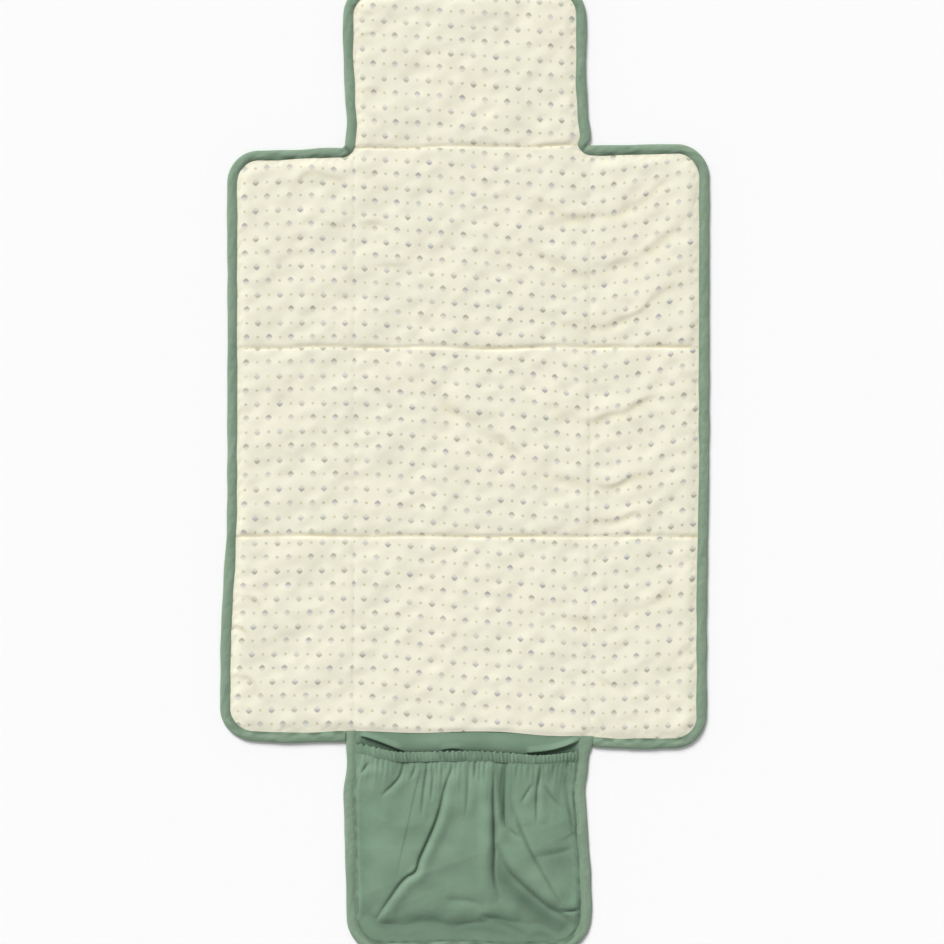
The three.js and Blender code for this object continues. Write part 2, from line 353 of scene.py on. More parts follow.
def settle(points, faces, held, growth, stiffness, frames, cap):
    """Lets cloth that is cut larger than its place buckle between the points that hold it."""
    cloth_object = make_mesh("settling_cloth", points, faces)
    group = cloth_object.vertex_groups.new(name="held")
    for level in np.unique(np.round(held, 2)):
        members = np.nonzero(np.round(held, 2) == level)[0].tolist()
        group.add(members, float(level), "REPLACE")
    cloth = cloth_object.modifiers.new("cloth", "CLOTH")
    settings = cloth.settings
    settings.quality = 6
    settings.mass = 0.15
    settings.tension_stiffness = 12
    settings.compression_stiffness = 12
    settings.shear_stiffness = 6
    settings.bending_stiffness = stiffness
    settings.vertex_group_mass = "held"
    settings.pin_stiffness = 0.6
    settings.shrink_min = -growth
    settings.effector_weights.gravity = 0
    cloth.point_cache.frame_start = 1
    cloth.point_cache.frame_end = frames
    for number in range(1, frames + 1):
        bpy.context.scene.frame_set(number)
    evaluated = cloth_object.evaluated_get(bpy.context.evaluated_depsgraph_get())
    settled = np.zeros(len(points) * 3, np.float32)
    evaluated.data.vertices.foreach_get("co", settled)
    bpy.context.scene.frame_set(1)
    bpy.data.objects.remove(cloth_object)
    move = settled.reshape(-1, 3).astype(float) / MM - points
    length = np.linalg.norm(move, axis=1, keepdims=True)
    return points + move * np.minimum(1, cap / np.maximum(length, 1e-6))


def grid_corners(cells):
    """Which corners the kept cells of a grid touch, and a running number for each of them."""
    used = np.zeros((cells.shape[0] + 1, cells.shape[1] + 1), bool)
    for row_step in (0, 1):
        for column_step in (0, 1):
            used[row_step:row_step + cells.shape[0], column_step:column_step + cells.shape[1]] |= cells
    index = np.full(used.shape, -1)
    index[used] = np.arange(used.sum())
    return used, index


def grid_faces(cells, index):
    """The upward faces of the kept cells of a grid, row by row."""
    rows, columns = np.nonzero(cells)
    lower = index[rows, columns], index[rows, columns + 1]
    upper = index[rows + 1, columns + 1], index[rows + 1, columns]
    return np.stack(lower + upper, 1)


def lines(stops, spacing):
    """Evenly spaced values that pass through every stop."""
    values = []
    for low, high in zip(stops, stops[1:]):
        count = max(1, round((high - low) / spacing))
        values.extend(np.linspace(low, high, count, endpoint=False))
    return np.array(values + [stops[-1]])


def cell_middles(x_lines, y_lines):
    """The middle of every cell of a grid."""
    return np.meshgrid((x_lines[1:] + x_lines[:-1]) / 2, (y_lines[1:] + y_lines[:-1]) / 2)


def between_lines(values, places):
    """The interval of each place and the share of the way through it."""
    number = np.clip(np.searchsorted(values, places, side="right") - 1, 0, len(values) - 2)
    return number, (places - values[number]) / (values[number + 1] - values[number])


def resampled(field, x_lines, y_lines, x, y):
    """Reads a field known on a grid at other places."""
    column, across = between_lines(x_lines, x)
    row, along = between_lines(y_lines, y)
    lower = field[row, column] * (1 - across) + field[row, column + 1] * across
    upper = field[row + 1, column] * (1 - across) + field[row + 1, column + 1] * across
    return lower * (1 - along) + upper * along


def settled_lift(x_lines, y_lines, height, held, keep, growth, stiffness, frames, cap):
    """How far the settled cloth lies above or below the height it started from, on a grid."""
    x, y = np.meshgrid(x_lines, y_lines)
    cells = keep(*cell_middles(x_lines, y_lines))
    used, index = grid_corners(cells)
    points = np.stack([x[used], y[used], height(x[used], y[used])], 1)
    faces = grid_faces(cells, index).tolist()
    settled = settle(points, faces, held(x[used], y[used]), growth, stiffness, frames, cap)
    lift = np.zeros(x.shape)
    lift[used] = settled[:, 2] - points[:, 2]
    for _ in range(3):
        padded = np.pad(lift, 1, mode="edge")
        along = (padded[:-2] + 2 * padded[1:-1] + padded[2:]) / 4
        lift = (along[:, :-2] + 2 * along[:, 1:-1] + along[:, 2:]) / 4
    return lift


# ---------------------------------------------------------------- the padded panels

X_LINES = lines(
    (-PAD_EDGE + HIDDEN_EDGE, -WING_BEND_START, WING_BEND_START, PAD_EDGE - HIDDEN_EDGE),
    PANEL_SPACING,
)
Y_LINES = lines(
    (
        PAD_BOTTOM + HIDDEN_EDGE, POCKET_FOLD, LOWER_FOLD - ROW_BEND, LOWER_FOLD, LOWER_FOLD + ROW_BEND,
        UPPER_FOLD - ROW_BEND, UPPER_FOLD, UPPER_FOLD + ROW_BEND, HEAD_FOLD - HIDDEN_EDGE, HEAD_FOLD,
        HEAD_TOP - HIDDEN_EDGE,
    ),
    PANEL_SPACING,
)
COVER_CLOTH_SPACING = 5.2


def on_cover(x, y):
    """True inside the printed cover, whose cut edge is hidden in the binding."""
    above_hem = (y > POCKET_FOLD) | (np.abs(x) > WING_BEND_START)
    return (inset(x, y) > HIDDEN_EDGE + 0.2) & above_hem & (y > PAD_BOTTOM)


def cover_held(x, y):
    """How firmly the seams and the wadding hold each point of the cover."""
    sewn = cover_fullness(x, y) < 0.3
    return np.where(sewn, 1.0, 0.4)


# How the printed rows and columns drift from an even grid where the cloth was pulled askew before quilting.
ROW_DRIFT = (
    (-235, -1.3), (-110, 1.2), (40, 1.4), (100, 2.9), (200, 6.4), (250, 8.4), (290, 9.2), (335, 11.0),
)
LEFT_ROW_DRIFT = ((-235, -2.0), (-20, -0.3), (100, -1.0), (200, -3.7), (280, -5.6))
RIGHT_ROW_DRIFT = ((-235, -0.6), (-110, 1.8), (20, 3.2), (100, 2.2), (220, 0.6))
COLUMN_DRIFT = ((-235, 0.2), (-150, -1.6), (40, -4.8), (150, -1.6), (250, 0.3), (430, 1.7))
LEFT_COLUMN_DRIFT = ((-235, 3.8), (-110, 0.6), (60, 1.0), (150, -2.6), (280, -3.6))


def print_place(x, y):
    """Where a point of the cover lies on the printed cloth, with the small tucks that the seams take up."""
    centre_rise = -0.078 * (np.clip(x, LEFT_SEAM, RIGHT_SEAM) - LEFT_SEAM)
    left_rise = 0.024 * np.minimum(x - LEFT_SEAM, 0)
    right_slope = eased(y, ((-250, 0.03), (-60, 0.13), (250, 0.18)))
    right_rise = right_slope * np.maximum(x - RIGHT_SEAM, 0)
    head_share = eased(y, ((HEAD_FOLD - 60, 1.0), (HEAD_TOP, 0.8)))
    to_left = eased(x, ((-230, 0.7), (-165, 1.0), (-100, 0.0)))
    to_right = eased(x, ((60, 0.0), (135, 1.0)))
    side_drift = to_left * eased(y, LEFT_ROW_DRIFT) + to_right * eased(y, RIGHT_ROW_DRIFT)
    along_drift = eased(y, ROW_DRIFT) + side_drift
    far_left = eased(x, ((-205, 1.0), (-20, 0.0)))
    far_right = eased(x, ((30, 0.0), (220, 1.0)))
    across = x + eased(y, COLUMN_DRIFT) + far_left * eased(y, LEFT_COLUMN_DRIFT) + 6.2 * far_right
    for seam in (LEFT_SEAM, RIGHT_SEAM):
        across = across + eased(x, ((seam - 2, -1.1), (seam + 2, 1.1)))
    along = y + along_drift - (centre_rise + left_rise + right_rise) * head_share
    for seam in (HEAD_FOLD, UPPER_FOLD, LOWER_FOLD):
        along = along + eased(y, ((seam - 2, -1.6), (seam + 2, 1.6)))
    drift_x = 0.5 * waves(x, y, 150, 51)
    drift_y = 0.5 * waves(x, y, 150, 52)
    return across + drift_x, along + drift_y


def build_cover():
    """The whole cover and backing as one pair of surfaces, with their print places and painted shade."""
    coarse_x = lines((X_LINES[0], X_LINES[-1]), COVER_CLOTH_SPACING)
    coarse_y = lines((Y_LINES[0], Y_LINES[-1]), COVER_CLOTH_SPACING)
    lift = settled_lift(
        coarse_x, coarse_y, cover_top, cover_held, on_cover,
        growth=0.016, stiffness=6.0, frames=20, cap=2.2,
    )
    x, y = np.meshgrid(X_LINES, Y_LINES)
    top = cover_top(x, y) + resampled(lift, coarse_x, coarse_y, x, y) * cover_fullness(x, y)
    top = top - 0.5 * np.maximum(top - FLAT_TOP, 0)
    upper = laid_surface(x, y, top)
    lower = laid_surface(x, y, cover_bottom(x, y))
    printed = np.stack(print_place(upper[:, :, 0], upper[:, :, 1]), 2)
    return upper, lower, printed, cover_shade(x, y)


def grid_normals(surface):
    across = np.gradient(surface, axis=1)
    along = np.gradient(surface, axis=0)
    normal = np.cross(across, along)
    return normal / np.linalg.norm(normal, axis=2, keepdims=True)


# The sides of a grid cell: the step to the neighbour there, and the two corners of the side.
CELL_SIDES = (
    (-1, 0, (0, 0), (0, 1)),
    (0, 1, (0, 1), (1, 1)),
    (1, 0, (1, 1), (1, 0)),
    (0, -1, (1, 0), (0, 0)),
)


def edge_walls(cells, index, count):
    """The faces that join the upper surface to the lower one, wherever a kept cell has no neighbour."""
    around = np.pad(cells, 1)
    rows, columns = np.nonzero(cells)
    walls = []
    for row_step, column_step, start, end in CELL_SIDES:
        open_side = ~around[rows + 1 + row_step, columns + 1 + column_step]
        edge_rows, edge_columns = rows[open_side], columns[open_side]
        first = index[edge_rows + start[0], edge_columns + start[1]]
        second = index[edge_rows + end[0], edge_columns + end[1]]
        walls.append(np.stack([second, first, first + count, second + count], 1))
    return np.vstack(walls)


def cut_panel(name, cells, upper, lower, cut_place, painted_shade):
    """The kept cells of two surfaces as one closed piece: above, below, and the cut edge between them."""
    used, index = grid_corners(cells)
    count = int(used.sum())
    top_faces = grid_faces(cells, index)
    bottom_faces = top_faces[:, ::-1] + count
    faces = np.vstack([top_faces, bottom_faces, edge_walls(cells, index, count)])
    panel = make_mesh(name, np.vstack([upper[used], lower[used]]), faces.tolist())
    mesh = panel.data
    below = np.arange(len(faces)) >= len(top_faces)
    mesh.polygons.foreach_set("material_index", below.astype(np.int32))
    mesh.polygons.foreach_set("use_smooth", np.ones(len(faces), bool))
    set_cut_place(mesh, np.tile(cut_place[used], (2, 1)))
    # The shade painted on each point, for the materials.
    set_painted_shade(mesh, np.tile(painted_shade[used], 2))
    normals = np.vstack([grid_normals(upper)[used], -grid_normals(lower)[used]])
    mesh.normals_split_custom_set_from_vertices(normals.astype(np.float32))
    return panel


# ---------------------------------------------------------------- swept strips: binding, casing, elastic

def rounded_path(corners, spacing):
    """Evenly spaced points along a line whose right-angled corners (x, y, radius) are rounded off."""
    places = [np.array(corner[:2], float) for corner in corners]
    points = [places[0]]
    for before, corner, after, (_, _, radius) in zip(places, places[1:], places[2:], corners[1:]):
        arriving = (corner - before) / np.linalg.norm(corner - before)
        leaving = (after - corner) / np.linalg.norm(after - corner)
        centre = corner + (leaving - arriving) * radius
        for angle in np.linspace(0, math.pi / 2, 24):
            points.append(centre - leaving * radius * math.cos(angle) + arriving * radius * math.sin(angle))
    points.append(places[-1])
    points = np.array(points)
    travelled = np.concatenate([[0], np.cumsum(np.linalg.norm(np.diff(points, axis=0), axis=1))])
    wanted = np.linspace(0, travelled[-1], round(travelled[-1] / spacing))
    return np.stack([np.interp(wanted, travelled, points[:, axis]) for axis in (0, 1)], 1), wanted


def sweep_faces(count, around):
    """Faces of a closed tube of `count` sections with `around` points each, and its two end caps."""
    faces = []
    for first in range(0, (count - 1) * around, around):
        after = first + around
        for corner in range(around):
            following = (corner + 1) % around
            faces.append((first + corner, after + corner, after + following, first + following))
    faces.append(tuple(range(around)))
    faces.append(tuple(reversed(range((count - 1) * around, count * around))))
    return faces


def stitch_faces(first):
    quads = ((0, 1, 3, 2), (4, 6, 7, 5), (0, 4, 5, 1), (2, 3, 7, 6), (0, 2, 6, 4), (1, 5, 7, 3))
    return [tuple(first + corner for corner in quad) for quad in quads]


def stitch_points(start, end, width, thickness):
    """The corners of a slim box: one stitch of the thread."""
    direction = (end - start) / np.linalg.norm(end - start)
    side = np.array([-direction[1], direction[0], 0]) * width / 2
    up = np.array([0, 0, thickness])
    points = []
    for place in (start, end):
        for sideways in (-side, side):
            points.extend((place + sideways - up, place + sideways + up))
    return points


# Section of the folded tape: place across it (towards the pad is positive) and height, outside then inside.
TAPE_OUTSIDE = (
    (5.0, 2.75), (4.5, 3.05), (3.7, 3.1), (2.6, 3.75), (0.6, 4.15), (-1.6, 4.05), (-3.4, 3.5), (-4.6, 2.75),
    (-5.0, 1.95), (-4.6, 1.05), (-3.2, 0.4), (-1.0, 0.15), (2.0, 0.15), (5.0, 0.45),
)
TAPE_INSIDE = (
    (5.0, 0.85), (2.0, 0.6), (-1.0, 0.62), (-3.0, 0.85), (-4.2, 1.3), (-4.5, 1.95), (-4.1, 2.6), (-3.0, 3.1),
    (-1.6, 3.6), (0.6, 3.7), (2.6, 3.25), (3.7, 2.7), (5.0, 2.4),
)
TAPE_SECTION = np.array(TAPE_OUTSIDE + TAPE_INSIDE)
# The edge stitches lie along this point of the outside, in a slight hollow.
STITCH_PLACE = TAPE_OUTSIDE.index((3.7, 3.1))
STITCH_PITCH = 3.6
STITCH_LENGTH = 2.7
STITCH_WIDTH = 0.3
STITCH_THICKNESS = 0.16


# 0 on the lower half of the tape's section and 1 on its crown.
TAPE_CROWN = np.clip((TAPE_SECTION[:, 1] - 2.2) / 1.8, 0, 1)


def tape_sections(path, travelled, height_scale, flare, seed):
    """The folded tape's sections along a path in the flat cut, with its puckers, then laid on the table."""
    heading = np.gradient(path, axis=0)
    heading = heading / np.linalg.norm(heading, axis=1, keepdims=True)
    inwards = np.stack([heading[:, 1], -heading[:, 0]], 1)
    turning = np.abs(np.gradient(np.unwrap(np.arctan2(heading[:, 1], heading[:, 0]))))
    across = TAPE_SECTION[:, 0][None, :]
    across = np.where(across < 0, across * (1 + flare[:, None]), across)
    height = TAPE_SECTION[:, 1][None, :]
    along = travelled[:, None]
    puckers = 0.34 * waves(along + across * 1.2, across * 3, 15, seed)
    puckers = puckers + 0.15 * waves(along - across, across, 6, seed + 1)
    drawn_in = 1 + 0.05 * waves(along, along * 0, 40, seed + 2)
    bunched = 1 + 3.0 * np.minimum(turning, 0.1)[:, None]
    flat_x = path[:, :1] + inwards[:, :1] * across * drawn_in
    flat_y = path[:, 1:] + inwards[:, 1:] * across * drawn_in
    height = height + drawn_up(path[:, 1:]) * (1 - height / TAPE_SECTION[:, 1].max())
    return laid_surface(flat_x, flat_y, height * height_scale[:, None] + puckers * TAPE_CROWN * bunched)


def crossed_corner(sections, shade, travelled, place, depth):
    """A sharp tuck across the tape where it turns an inner corner, with dark shade painted in it."""
    tuck_and_painted_shade = bell(travelled - place, 1.6)[:, None] * TAPE_CROWN[None, :]
    sections[:, :, 2] -= depth * tuck_and_painted_shade
    shade += 0.55 * tuck_and_painted_shade


def tube_normals(sections):
    """The outward direction at every point of the sections of a closed tube."""
    around = np.roll(sections, -1, axis=1) - np.roll(sections, 1, axis=1)
    normal = np.cross(np.gradient(sections, axis=0), around)
    return normal / np.maximum(np.linalg.norm(normal, axis=2, keepdims=True), 1e-9)


def tape_shade(sections, travelled):
    """The shade painted on the tape in the groove along its inner edge, most where it runs across the pad."""
    inward = sections[:, 0] - sections[:, TAPE_OUTSIDE.index((-5.0, 1.95))]
    across_pad = np.abs(inward[:, 1]) / np.linalg.norm(inward[:, :2], axis=1)
    uneven = np.clip(0.6 + 0.6 * waves(travelled, travelled * 0, 24, 65), 0, 1)
    groove = eased(TAPE_SECTION[:, 0], ((1.2, 0.0), (3.7, 1.0))) * (TAPE_SECTION[:, 1] > 2.2)
    return (0.03 + 0.62 * across_pad * uneven)[:, None] * groove[None, :]


def edge_stitches(seam, travelled):
    """The corners of the stitches along a seam line, eight to a stitch."""
    points = []
    for start in np.arange(travelled[0] + 0.6, travelled[-1] - 3.2, STITCH_PITCH):
        ends = []
        for place in (start, start + STITCH_LENGTH):
            ends.append(np.array([np.interp(place, travelled, seam[:, axis]) for axis in range(3)]))
        points.extend(stitch_points(*ends, STITCH_WIDTH, STITCH_THICKNESS))
    return np.reshape(points, (-1, 3))


def build_tape(name, sections, normals, travelled, shade):
    """A length of folded tape with its edge stitches. Its normals let it meet the next length smoothly."""
    count, around = sections.shape[:2]
    stitches = edge_stitches(sections[:, STITCH_PLACE], travelled)
    faces = sweep_faces(count, around)
    tape_face_count = len(faces)
    for first in range(count * around, count * around + len(stitches), 8):
        faces.extend(stitch_faces(first))
    piece = make_mesh(name, np.vstack([sections.reshape(-1, 3), stitches]), faces)
    mesh = piece.data
    of_thread = np.arange(len(faces)) >= tape_face_count
    mesh.polygons.foreach_set("material_index", of_thread.astype(np.int32))
    mesh.polygons.foreach_set("use_smooth", ~of_thread)
    steps = np.linalg.norm(np.diff(TAPE_SECTION, axis=0), axis=1)
    along, across = np.meshgrid(travelled, np.concatenate([[0], np.cumsum(steps)]), indexing="ij")
    place = np.stack([along.ravel(), across.ravel()], 1)
    set_cut_place(mesh, np.vstack([place, np.zeros((len(stitches), 2))]))
    set_painted_shade(mesh, np.concatenate([shade.ravel(), np.zeros(len(stitches))]))
    directions = np.vstack([normals.reshape(-1, 3), 0 * stitches])
    mesh.normals_split_custom_set_from_vertices(directions.astype(np.float32))
    dress(piece, TAPE, THREAD)
    return piece


# ---------------------------------------------------------------- materials

def linear(red, green, blue):
    """A colour given as it looks on a screen, 0 to 255."""
    colour = []
    for value in (red, green, blue):
        share = value / 255
        colour.append(share / 12.92 if share <= 0.04045 else ((share + 0.055) / 1.055) ** 2.4)
    return (*colour, 1.0)


def connect(tree, socket, value):
    """Gives a socket a constant, or links it to a number or a colour that other nodes make."""
    source = getattr(value, "socket", value)
    if isinstance(source, bpy.types.NodeSocket):
        tree.links.new(source, socket)
    else:
        socket.default_value = source


class Number:
    """A number that a material's nodes work out, written in sums like any other number."""

    def __init__(self, tree, socket):
        self.tree = tree
        self.socket = socket

    def math(self, operation, *others):
        node = self.tree.nodes.new("ShaderNodeMath")
        node.operation = operation
        for socket, value in zip(node.inputs, (self, *others)):
            connect(self.tree, socket, value)
        return Number(self.tree, node.outputs[0])

    def __add__(self, other):
        return self.math("ADD", other)

    def __mul__(self, other):
        return self.math("MULTIPLY", other)

    def __sub__(self, other):
        return self.math("SUBTRACT", other)

    def __rsub__(self, other):
        return self.math("MULTIPLY_ADD", -1.0, other)

    def __truediv__(self, other):
        return self.math("DIVIDE", other)

    def ramp(self, low, high):
        """0 below low, 1 above high, and smooth between. Falls instead if high is less than low."""
        node = self.tree.nodes.new("ShaderNodeMapRange")
        node.interpolation_type = "SMOOTHSTEP"
        ends = (low, high, 0.0, 1.0) if low < high else (high, low, 1.0, 0.0)
        connect(self.tree, node.inputs["Value"], self)
        for socket, end in zip(("From Min", "From Max", "To Min", "To Max"), ends):
            node.inputs[socket].default_value = end
        return Number(self.tree, node.outputs["Result"])


class Cloth:
    """A fabric material, with the patterns that its colour and its relief are made of."""

    def __init__(self, name, roughness, sheen):
        self.material = bpy.data.materials.new(name)
        self.material.use_nodes = True
        self.tree = self.material.node_tree
        self.shader = self.tree.nodes["Principled BSDF"]
        self.shader.inputs["Roughness"].default_value = roughness
        self.shader.inputs["Sheen Weight"].default_value = sheen
        self.shader.inputs["Sheen Roughness"].default_value = 0.5
        self.shader.inputs["Specular IOR Level"].default_value = 0.2
        place = self.tree.nodes.new("ShaderNodeUVMap")
        place.uv_map = "cut"
        self.place = place.outputs[0]

    def mix(self, share, first, second):
        node = self.tree.nodes.new("ShaderNodeMix")
        node.data_type = "RGBA"
        connect(self.tree, node.inputs[0], share)
        connect(self.tree, node.inputs[6], first)
        connect(self.tree, node.inputs[7], second)
        return node.outputs[2]

    def noise(self, scale, detail=2.0):
        node = self.tree.nodes.new("ShaderNodeTexNoise")
        connect(self.tree, node.inputs["Vector"], self.place)
        node.inputs["Scale"].default_value = scale
        node.inputs["Detail"].default_value = detail
        return Number(self.tree, node.outputs[0])

    def cut(self):
        """The place on the cut cloth, in millimetres: across and along."""
        parts = self.tree.nodes.new("ShaderNodeSeparateXYZ")
        connect(self.tree, parts.inputs[0], self.place)
        return [Number(self.tree, output) * 1000.0 for output in parts.outputs[:2]]

    def tuck_and_painted_shade(self):
        """How much shade is painted on each point, deepest in tucks and openings, from 0 to 1."""
        node = self.tree.nodes.new("ShaderNodeAttribute")
        node.attribute_name = "tuck_and_painted_shade"
        return Number(self.tree, node.outputs["Fac"])

    def chance(self, across, along):
        """Three random numbers for each whole-numbered place."""
        pair = self.tree.nodes.new("ShaderNodeCombineXYZ")
        connect(self.tree, pair.inputs[0], across)
        connect(self.tree, pair.inputs[1], along)
        node = self.tree.nodes.new("ShaderNodeTexWhiteNoise")
        node.noise_dimensions = "3D"
        connect(self.tree, node.inputs["Vector"], pair.outputs[0])
        parts = self.tree.nodes.new("ShaderNodeSeparateColor")
        connect(self.tree, parts.inputs[0], node.outputs["Color"])
        return [Number(self.tree, output) for output in parts.outputs]

    def finished(self, colour, relief, depth):
        """The material, with its colour and the relief of its threads."""
        node = self.tree.nodes.new("ShaderNodeBump")
        connect(self.tree, node.inputs["Height"], relief)
        node.inputs["Distance"].default_value = depth
        node.inputs["Strength"].default_value = 1.0
        connect(self.tree, self.shader.inputs["Normal"], node.outputs[0])
        connect(self.tree, self.shader.inputs["Base Color"], colour)
        return self.material


def weave(across, along, pitch):
    """Height of a plain weave with this many millimetres to a thread."""
    turn = 2 * math.pi / pitch
    return (across * turn).math("SINE") * (along * turn).math("SINE")


PRINT_ACROSS = 21.9
PRINT_ALONG = 13.95
PRINT_SHIFT = (2.4, -1.4)


def printed_cotton():
    """Cream cotton with rows of small buds, every other row turned over, and a dot between neighbours."""
    cloth = Cloth("printed_cotton", 0.88, 0.12)
    across, along = cloth.cut()
    row = (along + PRINT_SHIFT[1]) / PRINT_ALONG
    row_number = row.math("FLOOR")
    turned = row_number.math("FLOORED_MODULO", 2.0)
    column = (across + PRINT_SHIFT[0]) / PRINT_ACROSS + turned * 0.5
    strength, tint, hue = cloth.chance(column.math("FLOOR"), row_number)
    x = ((column.math("FRACT") - 0.5) * PRINT_ACROSS).math("ABSOLUTE")
    level = (row.math("FRACT") - 0.5) * PRINT_ALONG
    y = level * (1.0 - turned * 2.0)

    def distance(sideways, upwards):
        return (sideways * sideways + upwards * upwards).math("SQRT")

    corner = x + y.math("ABSOLUTE") * 0.95 + cloth.noise(900.0, 1.0) * 1.2
    whole = corner.ramp(5.9, 2.9) * distance(x, y * 0.92).ramp(4.0, 2.0)
    bud = distance(x, y - 0.9).ramp(2.6, 0.7)
    vein = distance(x, (y - 0.2) * 0.7).ramp(0.9, 0.4)
    calyx = y.ramp(1.5, -0.7) * (1.0 - bud * 0.7)
    petals = (1.0 - bud) * 0.45
    inked = calyx.math("MAXIMUM", petals).math("MAXIMUM", vein * 0.5)
    inked = inked * whole * (strength * 0.42 + 0.36)
    dot_number = (column + 0.5).math("FLOOR")
    dot_strength, dot_tint, _ = cloth.chance(dot_number, row_number + 500.0)
    dot = distance(PRINT_ACROSS / 2 - x, level).ramp(2.0, 0.6) * (dot_strength * 0.42 + 0.3)

    ground = cloth.mix(cloth.noise(14.0, 3.0), linear(241, 236, 216), linear(234, 233, 211))
    bud_colour = cloth.mix(tint.ramp(0.35, 0.6), linear(212, 206, 200), linear(196, 198, 212))
    ink_colour = cloth.mix(hue.ramp(0.2, 0.8), linear(128, 131, 106), linear(127, 127, 143))
    dot_colour = cloth.mix(dot_tint.ramp(0.4, 0.6), linear(192, 180, 146), linear(172, 176, 156))
    colour = cloth.mix(bud * whole * 0.45, ground, bud_colour)
    colour = cloth.mix(inked, colour, ink_colour)
    colour = cloth.mix(dot, colour, dot_colour)
    # Painted shade, a warm tan, in the seams, the wrinkles' hollows and beside the binding.
    colour = cloth.mix(cloth.tuck_and_painted_shade() * 0.6, colour, linear(206, 190, 134))
    slubs = cloth.noise(1600.0)
    colour = cloth.mix(slubs * 0.05 + 0.955, linear(206, 198, 172), colour)
    return cloth.finished(colour, weave(across, along, 0.62) + slubs * 0.8, 0.00005)


def plain_cotton(name, dark, light, pitch, bias):
    """Plain dyed cotton with soft uneven dye, and shade painted a little darker between its threads."""
    cloth = Cloth(name, 0.86, 0.16)
    across, along = cloth.cut()
    if bias:
        across, along = across + along, across - along
    threads = weave(across, along, pitch)
    slubs = cloth.noise(1300.0)
    # Uneven dye, with painted shade between the threads.
    dye_and_painted_weave_shade = slubs * 0.35 + (cloth.noise(22.0, 3.0) * 0.9 - 0.15) + threads * 0.1
    colour = cloth.mix(dye_and_painted_weave_shade.ramp(0.1, 0.9), dark, light)
    # Painted shade, a dark green, in the folds, grooves and openings.
    colour = cloth.mix(cloth.tuck_and_painted_shade() * 0.88, colour, linear(48, 68, 52))
    return cloth.finished(colour, threads + slubs * 0.8, 0.00006)


PRINTED = printed_cotton()
BACKING = plain_cotton("backing_cotton", linear(110, 137, 114), linear(122, 149, 126), 0.7, False)
GREEN = plain_cotton("green_cotton", linear(111, 138, 115), linear(132, 158, 135), 0.7, False)
TAPE = plain_cotton("binding_cotton", linear(122, 147, 124), linear(146, 167, 144), 0.7, True)
THREAD = plain_cotton("sewing_thread", linear(116, 144, 120), linear(140, 166, 142), 0.4, True)
ELASTIC = plain_cotton("white_elastic", linear(214, 212, 200), linear(236, 234, 224), 0.9, False)


def dress(piece, *materials):
    for material in materials:
        piece.data.materials.append(material)


# ---------------------------------------------------------------- the panels, body by body

def blend_along_y(piece, first, second, start, end):
    start * MM
    end * MM
    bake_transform(piece)


def blend_to_wing(piece, row, side):
    row + "_centre"
    row + "_" + side
    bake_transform(piece)


ROWS = {
    "upper": (UPPER_FOLD + ROW_BEND, HEAD_FOLD),
    "middle": (LOWER_FOLD + ROW_BEND, UPPER_FOLD - ROW_BEND),
    "lower": (PAD_BOTTOM, LOWER_FOLD - ROW_BEND),
}
# The short strips beside the row folds, by their row and their fold.
FOLD_STRIPS = {
    ("upper", "upper"): (UPPER_FOLD, UPPER_FOLD + ROW_BEND),
    ("middle", "upper"): (UPPER_FOLD - ROW_BEND, UPPER_FOLD),
    ("middle", "lower"): (LOWER_FOLD, LOWER_FOLD + ROW_BEND),
    ("lower", "lower"): (LOWER_FOLD - ROW_BEND, LOWER_FOLD),
}


def turn_share(w):
    """The dual-quaternion weight that turns a point by the share w of a half turn."""
    half = np.tan(math.pi * np.minimum(w, 0.9999) / 2)
    return half / (1 + half)


def wing_rig(body):
    """Bones that copy the bodies' poses, riding on one wing body, for cloth that follows four bodies."""
    data = bpy.data.armatures.new("rig_" + body)
    rig = bpy.data.objects.new("rig_" + body, data)
    bpy.context.scene.collection.objects.link(rig)
    bpy.context.view_layer.objects.active = rig
    bpy.ops.object.mode_set(mode="EDIT")
    for name in frame["bodies"]:
        bone = data.edit_bones.new(name)
        bone.head = (0, 0, 0)
        bone.tail = (0, 1, 0)
        bone.roll = 0
    bpy.ops.object.mode_set(mode="OBJECT")
    for name, empty in frame["bodies"].items():
        follow = rig.pose.bones[name].constraints.new("COPY_TRANSFORMS")
        follow.target = empty
    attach(rig, body)
    rig.hide_render = True
    return rig


def follow_four(piece, row, side, fold):
    """Rides on its wing's body, and bends smoothly across both the wing fold and the row fold."""
    body = row + "_" + side
    places = np.array([vertex.co for vertex in piece.data.vertices]) / MM
    from_middle = np.abs(places[:, 0])
    wing = turn_share(eased(from_middle, ((WING_BEND_START, 0.0), (WING_BEND_END, 1.0))))
    beyond = places[:, 1] - UPPER_FOLD if fold == "upper" else LOWER_FOLD - places[:, 1]
    over = turn_share(eased(beyond, ((-ROW_BEND, 0.0), (ROW_BEND, 1.0))))
    shares = {
        "middle_centre": (1 - wing) * (1 - over),
        "middle_" + side: wing * (1 - over),
        fold + "_centre": (1 - wing) * over,
        fold + "_" + side: wing * over,
    }
    for name, weights in shares.items():
        group = piece.vertex_groups.new(name=name)
        for number, weight in enumerate(weights):
            if weight > 0.0005:
                group.add([number], float(weight), "REPLACE")
    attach(piece, body)
    bend = piece.modifiers.new("folds", "ARMATURE")
    bend.object = RIGS[body]
    bend.use_deform_preserve_volume = True


def padded_panel(name, cells, nodes):
    """A panel cut out of the whole cover. It replaces all three layers of those panels in the CAD model."""
    panel = cut_panel(name, ON_COVER & cells, *COVER)
    dress(panel, PRINTED, BACKING)
    if nodes:
        layers = ("cover", "wadding", "backing")
        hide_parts(*[f"{layer}_{node}" for layer in layers for node in nodes])
    return panel


